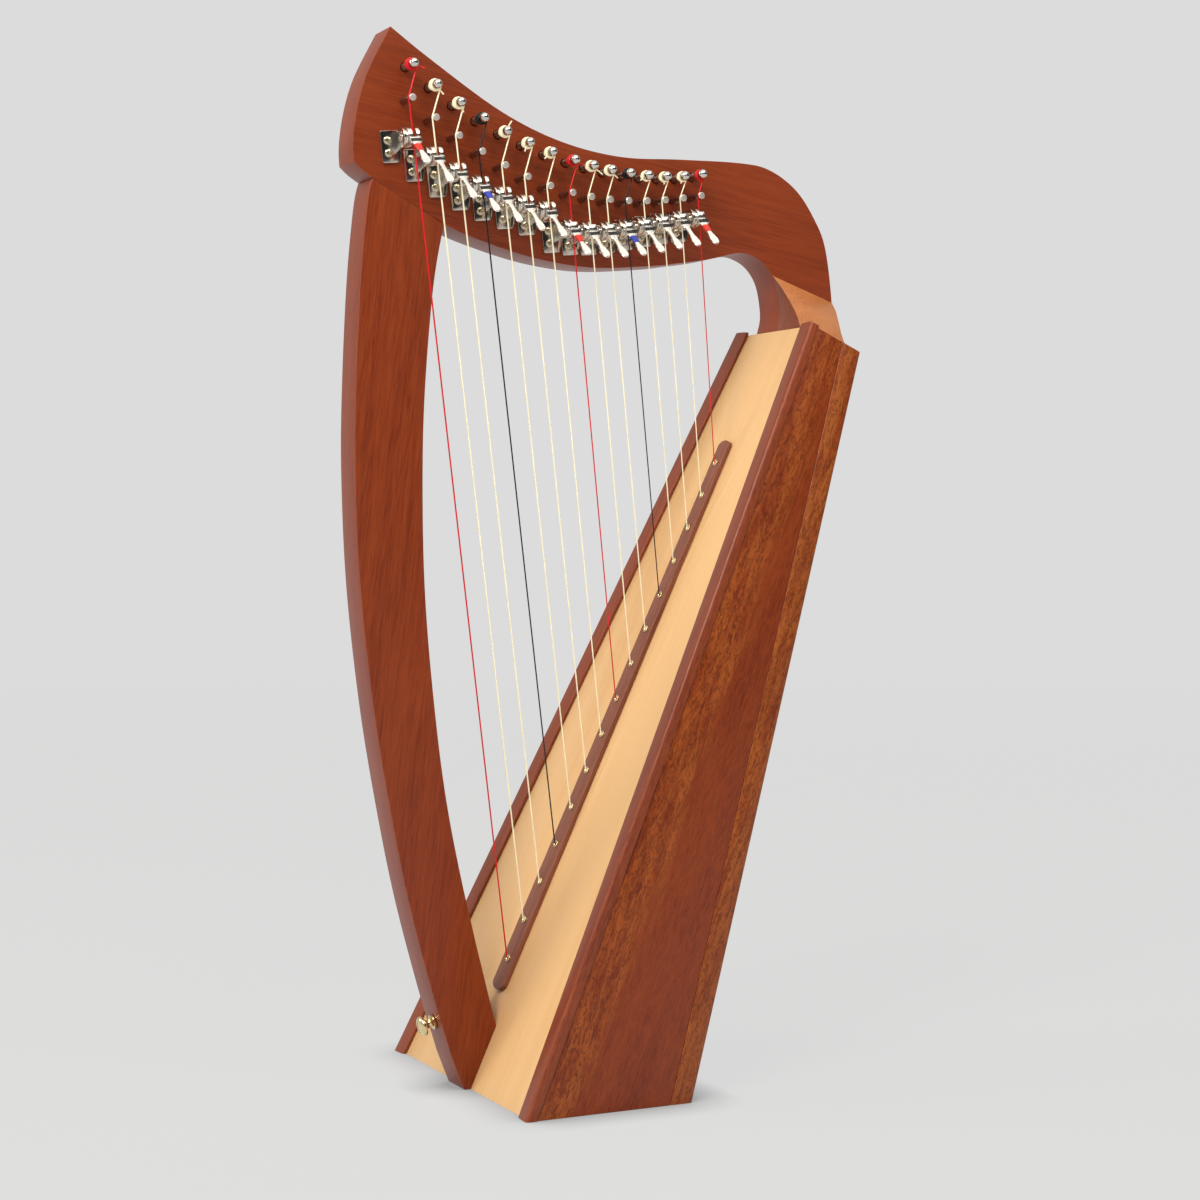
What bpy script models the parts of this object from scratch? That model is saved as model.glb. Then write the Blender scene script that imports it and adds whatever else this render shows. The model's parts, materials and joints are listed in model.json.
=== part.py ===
"""Fifteen-string lever harp.

A flat neck and pillar stand on a tapered soundbox. Each string runs from a knot
inside the box, up through an eyelet in the string strip, past the slot or flange
of its sharpening lever, round the left of its bridge pin and onto its tuning pin.

X runs from the pillar to the shoulder, Y away from the strings' side, Z up.
The origin is on the floor below the middle of the bounding box.
Sizes below are in millimetres and angles in degrees.
"""
import math

import bmesh
import bpy
from mathutils import Matrix, Vector

for item in list(bpy.data.objects):
    bpy.data.objects.remove(item, do_unlink=True)

MM = 0.001

# Fits
SEAT_GAP = 0.3
RUNNING_GAP = 0.1
WRAP_GAP = 0.4
TOOL_REACH = 5.0

# Soundbox, measured along the soundboard from its lower edge
BOARD_ANGLE = 65.0
BOARD_LENGTH = 555.4
BOARD_THICK = 3.5
BOX_HALF_LOW = 119.0
BOX_HALF_TOP = 54.5
BOX_DEPTH_LOW = 109.7
BOX_DEPTH_TOP = 40.4
SIDE_THICK = 6.0
SIDE_ROUND = 2.0
BACK_THICK = 4.5
BASE_THICK = 8.0
TOP_BLOCK_LENGTH = 24.0
TRIM_WIDTH = 16.0
TRIM_THICK = 3.0
TRIM_OVERHANG = 1.0
TRIM_ROUND = 2.4
TRIM_CHAMFER = 0.5
TRIM_LIP = 1.2
TRIM_PAST_TOP = 1.5
RIB_WIDTH = 22.0
RIB_THICK = 5.0
BACK_HOLES = ((190.0, 52.0, 30.0), (320.0, 46.0, 25.0), (440.0, 38.0, 19.0))
BACK_HOLE_SIDES = 20
BACK_HOLE_REACH = 15.0
BELOW_FLOOR = -70.0

# String strip and eyelets
STRIP_LOW = 66.0
STRIP_TOP = 470.0
STRIP_HALF_LOW = 9.5
STRIP_HALF_TOP = 7.5
STRIP_THICK = 3.0
STRIP_CHAMFER = 0.8
STRIP_END_SHARE = 0.55
STRIP_END_STEPS = 6
EYELET_RADIUS = 2.3
EYELET_STAND = 0.8
EYELET_SUNK = 1.0
EYELET_SIDES = 6
HOLE_RADIUS = 1.3
HOLE_FIRST = 87.7
HOLE_LAST = 452.7
HOLE_SPACING_CHANGE = -3.3

# Neck and pillar: one board thickness, leaning a little away at the top
FRAME_THICK = 28.8
FRAME_Y = -4.0
LEAN_X = 0.0149
LEAN_Z = 0.0269
NECK_TIP = (-47.7, 690.0)
NECK_TOP = ((-20.0, 671.0), (29.0, 641.0), (72.0, 624.0), (116.0, 616.5), (161.0, 617.5),
            (208.0, 618.0), (231.0, 614.5), (252.0, 601.5), (267.0, 581.0), (275.0, 561.0))
SHOULDER_REAR = (279.4, 524.5)
SHOULDER_LOW = ((277.0, 512.0), (272.5, 499.0))
ARCH = ((237.5, 516.0), (234.5, 536.0), (227.0, 548.2), (216.5, 554.6), (205.0, 556.0),
        (184.0, 551.0), (160.0, 547.0), (138.0, 544.0), (93.0, 541.0), (49.0, 546.0),
        (6.0, 557.5))
INNER_CORNER = (-12.0, 564.8)
STEP_INNER = (-61.0, 591.7)
STEP_OUTER = (-73.8, 601.5)
NECK_FRONT = ((-74.0, 616.0), (-70.5, 638.0), (-63.0, 661.0))
PILLAR_FRONT = ((-64.7, 575.0), (-70.0, 525.0), (-74.0, 455.0), (-75.0, 400.0), (-72.5, 330.0),
                (-65.0, 256.0), (-55.0, 192.0), (-42.0, 126.0), (-25.0, 61.0))
PILLAR_TOE = (-12.0, 19.0)
PILLAR_SOLE = (-4.5, 0.0)
PILLAR_INNER = ((-20.0, 523.0), (-27.0, 450.0), (-29.0, 385.0), (-28.0, 322.0), (-23.0, 256.0),
                (-15.0, 190.0), (-2.0, 124.0))
PILLAR_HEEL = 44.0
FOOT_INSET = 0.6

# Shoulder block on the near face of the neck
FACET_FRONT = (233.0, 541.3)
FACET_SLOPE = 1.0
BLOCK_STAND = 60.0
BLOCK_REAR_POINTS = 15
BLOCK_ARCH_POINTS = 11

# Tuning pins and bridge pins
STRINGS = 15
WIDE_GAPS = 7
PIN_FIRST_X = -38.2
PIN_WIDE = 16.15
PIN_NARROW = 13.55
PIN_HEIGHTS = ((-38.2, 664.4), (27.0, 625.1), (75.0, 609.6), (129.0, 602.7), (170.0, 605.9))
PIN_RADIUS = 2.6
PIN_BALL_RADIUS = 3.2
PIN_BALL_ANGLES = (-20.0, 25.0, 62.0)
PIN_STAND = 17.3
PIN_DRIVE_SIDE = 4.6
PIN_DRIVE_LENGTH = 11.0
PIN_DRIVE_SUNK = 2.0
PIN_BACK_STAND = 3.0
PIN_SIDES = 10
BRIDGE_SIDES = 8
BRIDGE_FIRST_X = -39.8
BRIDGE_WIDE = 16.02
BRIDGE_NARROW = 13.65
BRIDGE_HEIGHTS = ((-39.8, 642.1), (26.0, 602.0), (72.3, 587.7), (120.0, 584.9), (168.0, 591.2))
BRIDGE_RADIUS = 2.3
BRIDGE_TIP = 2.0

# Strings
STRING_DIA_BASS = 1.0
STRING_DIA_TREBLE = 0.64
WIND_TURNS = 2.4
WIND_POINTS = 9
WIND_FREE = 0.5
WIND_START = 13.6
TAIL = 4.0
TAIL_LIFT = 0.4
HOLE_ENTRY = 1.3
HOLE_BEND = 0.6
KNOT_RADIUS = 1.9
KNOT_NECK = 0.3
KNOT_SHARES = (0.6, 0.8)
KNOT_DROP = 3.0

# Levers: x from the string, stand from the neck's near face, z from the hinge axis
LEVER_BASS = 7
LEVER_TILT = 6.0
LEVER_DROPS_BASS = ((0, 24.8), (2, 22.9), (4, 19.3), (6, 15.7))
LEVER_DROPS_TREBLE = ((7, 23.0), (9, 20.3), (12, 15.0), (14, 14.7))
TREBLE_SHIFT = 1.0
AXIS_STAND = 13.3
STRING_BEYOND_AXIS = 4.1
STRING_STAND = AXIS_STAND + STRING_BEYOND_AXIS
BRIDGE_STAND = STRING_STAND + BRIDGE_TIP
EAR_LEFT = -6.6
EAR_THICK = 1.5
EAR_RADIUS = 6.4
EAR_FOOT_TOP = 4.6
EAR_FOOT_LOW = -6.8
EAR_SPREAD = 84.0
EAR_STEPS = 7
EAR_SIDES = 8
EAR_BORE_REACH = 2.0
AXLE_RADIUS = 1.5
RIVET_RADIUS = 2.4
RIVET_THICK = 0.8
WASHER_RADIUS = 5.0
DISC_RADIUS = 6.5
DISC_SIDES = 15
WALL_OVERLAP = 0.4
FACE_STEP = 0.02
SHELL_REACH = 8.0
SHELL_THICK = 1.3
FORK_HALF = 3.9
FORK_SLOT = 0.95
FORK_TIP = 52.0
FORK_ROOT = -0.6
CAP_LEFT = -2.6
CAP_RIGHT = 2.5
CAP_WALL = 1.8
CAP_TOP = 34.0
CAP_BACK_FROM = 112.0
CAP_BACK_TO = 190.0
FLANGE_TOP = -1.2
FLANGE_LOW = -5.0
FLANGE_OUT = 1.7
FLANGE_ROOT = 1.0
FLANGE_SLANT = 1.4
HANDLE_ROOT = (9.0, -4.2)
HANDLE_TIP = (26.0, -19.8)
HANDLE_THICK = 1.5
HANDLE_WIDTHS = ((0.0, 6.4), (0.15, 3.5), (0.5, 3.3), (0.78, 5.9), (1.0, 3.6))
PLATE_LEFT = -16.3
PLATE_RIGHT = -3.2
PLATE_TOP = 6.3
PLATE_LOW = -14.4
PLATE_THICK = 1.2
PLATE_CORNER = 2.4
PLATE_DRAWN_IN = 1.3
WEB_HALF = 0.9
WEB_THICK = 0.7
WEB_STAND = 0.45
WEB_BELOW_AXIS = 4.0
WEB_INTO_RIGHT = 1.6
WEB_INTO_LEFT = 1.0
SCREW_RADIUS = 2.7
SCREW_TAPER = 0.75
SCREW_SIDES = 8
SCREW_STAND = 1.2
SCREW_X = -11.7
SCREW_Z = (0.0, -8.2)

# Strap button on the pillar
BUTTON_HEIGHT = 43.6
BUTTON_SIDES = 16
BUTTON_PROFILE = ((5.0, 0.0), (5.0, 2.0), (2.8, 3.4), (2.8, 7.0), (6.6, 8.4), (6.6, 10.4), (5.4, 11.4))


def material(name, colour, roughness, metallic):
    made = bpy.data.materials.new(name)
    made.use_nodes = True
    shader = made.node_tree.nodes["Principled BSDF"]
    shader.inputs["Base Color"].default_value = (*colour, 1.0)
    shader.inputs["Roughness"].default_value = roughness
    shader.inputs["Metallic"].default_value = metallic
    return made


def box_point(along, across, out):
    """A point of the soundbox: along the board, across it, and out of its face."""
    slope = math.radians(BOARD_ANGLE)
    x = along * math.cos(slope) - out * math.sin(slope)
    z = along * math.sin(slope) + out * math.cos(slope)
    return Vector((x, across, z))


def blend(low, top, along):
    return low + (top - low) * along / BOARD_LENGTH


def frame_y(x, z, stand):
    """Y of a point standing this far out of the near face of the neck and pillar."""
    return FRAME_Y + LEAN_X * x + LEAN_Z * z - FRAME_THICK / 2 - stand


def spline(points, steps):
    """A smooth line through the points, with the given steps between two of them."""
    out = []
    last = len(points) - 1
    for i in range(last):
        a, b, c, d = (Vector(points[min(max(k, 0), last)]) for k in (i - 1, i, i + 1, i + 2))
        for j in range(steps):
            t = j / steps
            out.append(0.5 * (2 * b + (c - a) * t + (2 * a - 5 * b + 4 * c - d) * t * t
                              + (3 * b - a - 3 * c + d) * t * t * t))
    out.append(Vector(points[last]))
    return out


def height_at(points, x):
    """The polynomial through the points, at x."""
    total = 0.0
    for i, (xi, zi) in enumerate(points):
        term = zi
        for j, (xj, _) in enumerate(points):
            if j != i:
                term *= (x - xj) / (xi - xj)
        total += term
    return total


def add_object(name, bm, made, smooth=False):
    bmesh.ops.recalc_face_normals(bm, faces=bm.faces)
    mesh = bpy.data.meshes.new(name)
    bm.to_mesh(mesh)
    bm.free()
    mesh.transform(scale_to_metres())
    item = bpy.data.objects.new(name, mesh)
    bpy.context.collection.objects.link(item)
    if made is not None:
        mesh.materials.append(made)
    if smooth:
        mesh.shade_smooth()
        mesh.set_sharp_from_angle(angle=math.radians(35))
    return item


def scale_to_metres():
    shift = Matrix.Translation(Vector((-CENTRE_X * MM, 0.0, 0.0)))
    return shift @ Matrix.Scale(MM, 4)


def boolean(target, tool, operation):
    """Applies one exact Boolean and removes the tool."""
    step = target.modifiers.new("cut", "BOOLEAN")
    step.operation = operation
    step.solver = "EXACT"
    step.object = tool
    bpy.context.view_layer.update()
    graph = bpy.context.evaluated_depsgraph_get()
    mesh = bpy.data.meshes.new_from_object(target.evaluated_get(graph))
    target.modifiers.clear()
    old = target.data
    target.data = mesh
    bpy.data.meshes.remove(old)
    bpy.data.objects.remove(tool, do_unlink=True)
    bm = bmesh.new()
    bm.from_mesh(target.data)
    bmesh.ops.remove_doubles(bm, verts=bm.verts, dist=1e-6)
    bmesh.ops.dissolve_degenerate(bm, edges=bm.edges, dist=1e-6)
    bm.to_mesh(target.data)
    bm.free()


def loft(bm, rings):
    """Closed skin over rings of equal point counts, with flat ends."""
    made = [[bm.verts.new(p) for p in ring] for ring in rings]
    count = len(made[0])
    for low, top in zip(made, made[1:]):
        for i in range(count):
            j = (i + 1) % count
            bm.faces.new((low[i], low[j], top[j], top[i]))
    bm.faces.new(list(reversed(made[0])))
    bm.faces.new(made[-1])
    return made


def slab(bm, outline, stand_low, stand_top):
    """A board of the leaning frame: an XZ outline between two stands off the near face."""
    rings = []
    for stand in (stand_low, stand_top):
        rings.append([Vector((p[0], frame_y(p[0], p[1], stand), p[1])) for p in outline])
    loft(bm, rings)


def cuboid(bm, low, top):
    (x0, y0, z0), (x1, y1, z1) = low, top
    rings = [[Vector((x, y, z)) for x, y in ((x0, y0), (x1, y0), (x1, y1), (x0, y1))]
             for z in (z0, z1)]
    loft(bm, rings)


def bar(bm, start, end, radius, sides, turn=0.0, end_radius=None):
    """A round bar between two points."""
    start, end = Vector(start), Vector(end)
    way = (end - start).normalized()
    side = Vector((0.0, 0.0, 1.0))
    side = (side - way * side.dot(way)).normalized()
    other = way.cross(side)
    rings = []
    for centre, size in ((start, radius), (end, end_radius or radius)):
        ring = []
        for i in range(sides):
            a = 2 * math.pi * (i + turn) / sides
            ring.append(centre + size * (math.cos(a) * side + math.sin(a) * other))
        rings.append(ring)
    loft(bm, rings)


def turned(bm, origin, way, profile, sides):
    """A turned piece: (radius, distance) pairs along a direction."""
    way = Vector(way).normalized()
    side = Vector((0.0, 0.0, 1.0)) if abs(way.z) < 0.9 else Vector((1.0, 0.0, 0.0))
    side = (side - way * side.dot(way)).normalized()
    other = way.cross(side)
    rings = []
    for radius, distance in profile:
        rings.append([Vector(origin) + way * distance + radius
                      * (math.cos(2 * math.pi * i / sides) * side
                         + math.sin(2 * math.pi * i / sides) * other) for i in range(sides)])
    loft(bm, rings)


def cut(bm, point, normal):
    """Removes what lies on the side that the normal points to, and closes the face."""
    geometry = bm.verts[:] + bm.edges[:] + bm.faces[:]
    found = bmesh.ops.bisect_plane(bm, geom=geometry, dist=1e-5, plane_co=Vector(point),
                                   plane_no=Vector(normal), clear_outer=True)
    edges = [e for e in found["geom_cut"] if isinstance(e, bmesh.types.BMEdge)]
    if edges:
        bmesh.ops.edgeloop_fill(bm, edges=edges)


def holder(bm, made_name):
    """A nameless tool object for a Boolean."""
    return add_object(made_name, bm, None)


slope = math.radians(BOARD_ANGLE)
BOARD_ALONG = Vector((math.cos(slope), 0.0, math.sin(slope)))
BOARD_OUT = Vector((-math.sin(slope), 0.0, math.cos(slope)))
FLOOR = (0.0, 0.0, 0.0)
DOWN = (0.0, 0.0, -1.0)

# Outlines of the neck and the pillar
heel = box_point(PILLAR_HEEL, 0.0, SEAT_GAP)
foot_rear = box_point(BOARD_LENGTH + SEAT_GAP, 0.0, -BOX_DEPTH_TOP + FOOT_INSET)
foot_front = box_point(BOARD_LENGTH + SEAT_GAP, 0.0, 0.0)
rear_line = [SHOULDER_REAR, *SHOULDER_LOW, (foot_rear.x, foot_rear.z)]
top_line = spline([NECK_TIP, *NECK_TOP, *rear_line], 4)
arch_line = spline([(foot_front.x, foot_front.z), *ARCH, INNER_CORNER], 3)
neck_front_line = spline([STEP_OUTER, *NECK_FRONT, NECK_TIP], 3)
pillar_front_line = spline([STEP_INNER, *PILLAR_FRONT, PILLAR_TOE], 3)
pillar_inner_line = spline([INNER_CORNER, *PILLAR_INNER, (heel.x, heel.z)], 3)
widest = [p[0] for p in pillar_front_line + top_line + neck_front_line]
CENTRE_X = (min(widest) + max(widest)) / 2

wood = material("stained_mahogany", (0.26, 0.062, 0.02), 0.38, 0.0)
block_wood = material("light_mahogany", (0.42, 0.15, 0.05), 0.4, 0.0)
spruce = material("spruce", (0.78, 0.52, 0.27), 0.45, 0.0)
dark_wood = material("rosewood_strip", (0.17, 0.055, 0.035), 0.45, 0.0)
nickel = material("nickel", (0.72, 0.71, 0.68), 0.22, 1.0)
brass = material("brass", (0.83, 0.62, 0.28), 0.25, 1.0)
red = material("red_string", (0.62, 0.02, 0.02), 0.35, 0.0)
black = material("black_string", (0.02, 0.02, 0.022), 0.35, 0.0)
clear = material("natural_string", (0.85, 0.77, 0.58), 0.35, 0.0)

# Pillar: toe cut away in front, heel seated on the soundboard
join = Vector((INNER_CORNER[0] - STEP_INNER[0], 0.0, INNER_CORNER[1] - STEP_INNER[1]))
join_out = Vector((-join.z, 0.0, join.x)).normalized()
if join_out.z < 0:
    join_out = -join_out
bm = bmesh.new()
sole = [(p.x, p.y) for p in reversed(pillar_front_line)]
outline = sole + [(p.x, p.y) for p in pillar_inner_line]
outline += [(-SEAT_GAP / math.sin(slope), 0.0), PILLAR_SOLE]
slab(bm, outline, 0.0, -FRAME_THICK)
cut(bm, Vector((STEP_INNER[0], 0.0, STEP_INNER[1])) - join_out * SEAT_GAP, join_out)
add_object("pillar", bm, wood)

# Neck: board, pin bores and bridge pins
bm = bmesh.new()
outline = [(p.x, p.y) for p in top_line]
outline += [(p.x, p.y) for p in arch_line]
outline += [STEP_INNER]
outline += [(p.x, p.y) for p in neck_front_line[:-1]]
slab(bm, outline, 0.0, -FRAME_THICK)
neck = add_object("neck", bm, wood)


def pin_x(first, wide, narrow, i):
    return first + wide * min(i, WIDE_GAPS) + narrow * max(i - WIDE_GAPS, 0)


pins = []
bridges = []
for i in range(STRINGS):
    x = pin_x(PIN_FIRST_X, PIN_WIDE, PIN_NARROW, i)
    pins.append((x, height_at(PIN_HEIGHTS, x)))
    x = pin_x(BRIDGE_FIRST_X, BRIDGE_WIDE, BRIDGE_NARROW, i)
    bridges.append((x, height_at(BRIDGE_HEIGHTS, x)))

bore_radius = (PIN_RADIUS + RUNNING_GAP) / math.cos(math.pi / PIN_SIDES)
bm = bmesh.new()
for x, z in pins:
    bar(bm, (x, frame_y(x, z, TOOL_REACH), z), (x, frame_y(x, z, -FRAME_THICK - TOOL_REACH), z),
        bore_radius, PIN_SIDES)
boolean(neck, holder(bm, "bore_tool"), "DIFFERENCE")
bm = bmesh.new()
for x, z in bridges:
    bar(bm, (x, frame_y(x, z, BRIDGE_STAND), z), (x, frame_y(x, z, -TOOL_REACH), z),
        BRIDGE_RADIUS, BRIDGE_SIDES)
boolean(neck, holder(bm, "bridge_tool"), "UNION")

# Shoulder block: 45 degree facet from the neck's face down to the box
bm = bmesh.new()
block = [(p.x, p.y) for p in top_line[-BLOCK_REAR_POINTS:]]
block += [(p.x, p.y) for p in arch_line[:BLOCK_ARCH_POINTS]]
slab(bm, block, SEAT_GAP, BLOCK_STAND)
facet_way = Vector((SHOULDER_REAR[0] - FACET_FRONT[0], 0.0, SHOULDER_REAR[1] - FACET_FRONT[1]))
facet_rise = Vector((-facet_way.z, 0.0, facet_way.x)).normalized()
facet_point = Vector((FACET_FRONT[0], frame_y(*FACET_FRONT, SEAT_GAP), FACET_FRONT[1]))
facet_normal = facet_rise * FACET_SLOPE + Vector((0.0, -1.0, 0.0))
cut(bm, facet_point, facet_normal)
add_object("shoulder_block", bm, block_wood)


def box_piece(name, made, section, along_low=BELOW_FLOOR, along_top=BOARD_LENGTH):
    """A soundbox piece: section(along) gives its corners as (across, out) pairs."""
    bm = bmesh.new()
    rings = []
    for along in (along_low, along_top):
        rings.append([box_point(along, across, out) for across, out in section(along)])
    loft(bm, rings)
    cut(bm, FLOOR, DOWN)
    return add_object(name, bm, made)


def half(along):
    return blend(BOX_HALF_LOW, BOX_HALF_TOP, along)


def depth(along):
    return blend(BOX_DEPTH_LOW, BOX_DEPTH_TOP, along)


def board_section(along):
    w = half(along) - TRIM_LIP - SEAT_GAP
    return (-w, 0.0), (w, 0.0), (w, -BOARD_THICK), (-w, -BOARD_THICK)


def side_section(sign):
    def section(along):
        w = half(along)
        d = depth(along)
        r = SIDE_ROUND
        c = r * (1.0 - math.sqrt(0.5))
        low = BOARD_THICK + SEAT_GAP
        points = [(w - SIDE_THICK, -low), (w, -low), (w, -d + r), (w - c, -d + c),
                  (w - r, -d), (w - SIDE_THICK, -d)]
        return [(sign * across, out) for across, out in points]
    return section


def trim_section(sign):
    """The trim lies on the soundboard and its lip covers the board's edge."""
    def section(along):
        outer = half(along) + TRIM_OVERHANG
        inner = outer - TRIM_WIDTH
        lip = half(along) - TRIM_LIP
        low = SEAT_GAP
        top = SEAT_GAP + TRIM_THICK
        r = TRIM_ROUND
        points = [(inner, low), (lip, low), (lip, -BOARD_THICK), (outer, -BOARD_THICK)]
        for k in range(4):
            a = math.radians(30 * k)
            points.append((outer - r + r * math.cos(a), top - r + r * math.sin(a)))
        points += [(inner + TRIM_CHAMFER, top), (inner, top - TRIM_CHAMFER)]
        return [(sign * across, out) for across, out in points]
    return section


def inside_half(along):
    return half(along) - SIDE_THICK - SEAT_GAP


def back_section(along):
    w = inside_half(along)
    d = depth(along)
    return (-w, -d), (w, -d), (w, -d + BACK_THICK), (-w, -d + BACK_THICK)


def block_section(along):
    w = inside_half(along)
    low = BOARD_THICK + SEAT_GAP
    deep = depth(along) - BACK_THICK - SEAT_GAP
    return (-w, -low), (w, -low), (w, -deep), (-w, -deep)


soundboard = box_piece("soundboard", spruce, board_section)
box_piece("side_near", wood, side_section(-1.0))
box_piece("side_far", wood, side_section(1.0))
box_piece("edge_trim_near", wood, trim_section(-1.0), BELOW_FLOOR, BOARD_LENGTH + TRIM_PAST_TOP)
box_piece("edge_trim_far", wood, trim_section(1.0), BELOW_FLOOR, BOARD_LENGTH + TRIM_PAST_TOP)
back = box_piece("back_panel", wood, back_section)
box_piece("top_block", wood, block_section, BOARD_LENGTH - TOP_BLOCK_LENGTH, BOARD_LENGTH)

# Base board: fills the foot of the box between board, sides and back
bm = bmesh.new()
loft(bm, [[box_point(along, across, out) for across, out in block_section(along)]
          for along in (BELOW_FLOOR, BOARD_LENGTH / 2)])
cut(bm, FLOOR, DOWN)
cut(bm, (0.0, 0.0, BASE_THICK), (0.0, 0.0, 1.0))
add_object("base_board", bm, wood)

# Oval holes in the back, for reaching the knots
bm = bmesh.new()
for along, half_long, half_wide in BACK_HOLES:
    rings = []
    for out in (-depth(along) - BACK_HOLE_REACH, -depth(along) + BACK_HOLE_REACH):
        rings.append([box_point(along + half_long * math.cos(2 * math.pi * k / BACK_HOLE_SIDES),
                                half_wide * math.sin(2 * math.pi * k / BACK_HOLE_SIDES), out)
                      for k in range(BACK_HOLE_SIDES)])
    loft(bm, rings)
boolean(back, holder(bm, "back_hole_tool"), "DIFFERENCE")

# Rib under the soundboard along the knots, and the string strip on top of it
holes = []
middle = (STRINGS - 1) / 2
for i in range(STRINGS):
    even = HOLE_FIRST + (HOLE_LAST - HOLE_FIRST) * i / (STRINGS - 1)
    bow = HOLE_SPACING_CHANGE * (i - middle) ** 2 / (2 * (STRINGS - 1))
    edge = HOLE_SPACING_CHANGE * middle ** 2 / (2 * (STRINGS - 1))
    holes.append(even + bow - edge)

bm = bmesh.new()
low = BOARD_THICK + SEAT_GAP
loft(bm, [[box_point(along, across, out) for across, out in
           ((-RIB_WIDTH / 2, -low), (RIB_WIDTH / 2, -low),
            (RIB_WIDTH / 2, -low - RIB_THICK), (-RIB_WIDTH / 2, -low - RIB_THICK))]
          for along in (STRIP_LOW, STRIP_TOP)])
rib = add_object("inner_rib", bm, wood)



def strip_ring(out, inset):
    """The string strip's outline with its round ends, drawn in by an inset."""
    ring = []
    for sign, end, width in ((-1.0, STRIP_LOW, STRIP_HALF_LOW), (1.0, STRIP_TOP, STRIP_HALF_TOP)):
        reach = STRIP_END_SHARE * width
        for k in range(STRIP_END_STEPS + 1):
            a = math.pi * (k / STRIP_END_STEPS - 0.5)
            along = end + sign * ((reach - inset) * math.cos(a) - reach)
            ring.append(box_point(along, sign * (width - inset) * math.sin(a), out))
    return ring


strip_top = SEAT_GAP + STRIP_THICK
bm = bmesh.new()
loft(bm, [strip_ring(SEAT_GAP, 0.0), strip_ring(strip_top - STRIP_CHAMFER, 0.0),
          strip_ring(strip_top, STRIP_CHAMFER)])
strip = add_object("string_strip", bm, dark_wood)

bm = bmesh.new()
for along in holes:
    bar(bm, box_point(along, 0.0, strip_top - EYELET_SUNK),
        box_point(along, 0.0, strip_top + EYELET_STAND), EYELET_RADIUS, EYELET_SIDES)
boolean(strip, holder(bm, "eyelet_tool"), "UNION")
for target in (strip, soundboard, rib):
    bm = bmesh.new()
    for along in holes:
        bar(bm, box_point(along, 0.0, strip_top + TOOL_REACH),
            box_point(along, 0.0, -low - RIB_THICK - TOOL_REACH), HOLE_RADIUS, EYELET_SIDES)
    boolean(target, holder(bm, "hole_tool"), "DIFFERENCE")


# Strings: tail, winding, bridge pin, eyelet and knot
def tangent(a, ra, b, rb):
    """Angle at which a line leaves circle a on its right to meet circle b on its left."""
    way = Vector(b) - Vector(a)
    heading = math.atan2(way.y, way.x)
    return heading + math.acos((ra + rb) / way.length)


def axis_height(i):
    """Height of the lever's hinge axis on string i."""
    drops = LEVER_DROPS_BASS if i < LEVER_BASS else LEVER_DROPS_TREBLE
    return bridges[i][1] - height_at(drops, i)


string_lines = []
least_gap = 1e9
longest = []
for i in range(STRINGS):
    share = i / (STRINGS - 1)
    radius = (STRING_DIA_BASS + (STRING_DIA_TREBLE - STRING_DIA_BASS) * share) / 2
    wind_radius = PIN_RADIUS + WRAP_GAP + radius
    bridge_radius = BRIDGE_RADIUS + SEAT_GAP + radius
    angle = tangent(pins[i], wind_radius, bridges[i], bridge_radius)
    pitch = 2 * radius + WIND_FREE
    px, pz = pins[i]
    bx, bz = bridges[i]
    points = []
    total = int(round(WIND_TURNS * WIND_POINTS))
    for k in range(total, -1, -1):
        turn = k / WIND_POINTS
        a = angle + 2 * math.pi * turn
        x = px + wind_radius * math.cos(a)
        z = pz + wind_radius * math.sin(a)
        points.append(Vector((x, frame_y(px, pz, WIND_START - pitch * turn), z)))
    winding = list(points)
    for k, p in enumerate(winding):
        for q in winding[k + WIND_POINTS // 2:]:
            least_gap = min(least_gap, (p - q).length - 2 * radius)
    a = angle + 2 * math.pi * total / WIND_POINTS
    way = Vector((-math.sin(a), 0.0, math.cos(a)))
    points.insert(0, points[0] + way * TAIL + Vector((0.0, -TAIL_LIFT, 0.0)))
    hole = box_point(holes[i], 0.0, strip_top + HOLE_ENTRY)
    leave = math.pi + math.atan2(hole.x - bx, bz - hole.z)
    arrive = angle + math.pi
    for k in range(3):
        a = arrive + (leave - arrive) * k / 2
        points.append(Vector((bx + bridge_radius * math.cos(a),
                              frame_y(bx, bz, STRING_STAND), bz + bridge_radius * math.sin(a))))
    bridge_point = points[-1].copy()
    points.append(hole)
    sizes = [1.0] * len(points)
    deep = -low - RIB_THICK - KNOT_DROP
    points.append(box_point(holes[i], 0.0, strip_top - HOLE_BEND))
    sizes.append(1.0)
    shoulder, girth = (KNOT_RADIUS * share for share in KNOT_SHARES)
    for drop, size in ((-KNOT_RADIUS - KNOT_NECK, 1.0), (-shoulder, girth / radius),
                       (shoulder, girth / radius), (KNOT_RADIUS, 1.0)):
        points.append(box_point(holes[i], 0.0, deep - drop))
        sizes.append(size)
    curve = bpy.data.curves.new("string_%02d" % (i + 1), "CURVE")
    curve.dimensions = "3D"
    curve.bevel_depth = radius * MM
    curve.bevel_resolution = 1
    curve.use_fill_caps = True
    line = curve.splines.new("POLY")
    line.points.add(len(points) - 1)
    for slot, p, size in zip(line.points, points, sizes):
        slot.co = ((p.x - CENTRE_X) * MM, p.y * MM, p.z * MM, 1.0)
        slot.radius = size
    tone = red if i % 7 == 0 else black if i % 7 == 3 else clear
    curve.materials.append(tone)
    item = bpy.data.objects.new("string_%02d" % (i + 1), curve)
    bpy.context.collection.objects.link(item)
    string_lines.append((bridge_point, hole))
    longest.append(sum((q - p).length for p, q in zip(points, points[1:])))
print("least gap of a winding to itself, mm:", round(least_gap, 3))
print("string lengths, mm:", [round(v) for v in longest])


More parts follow.
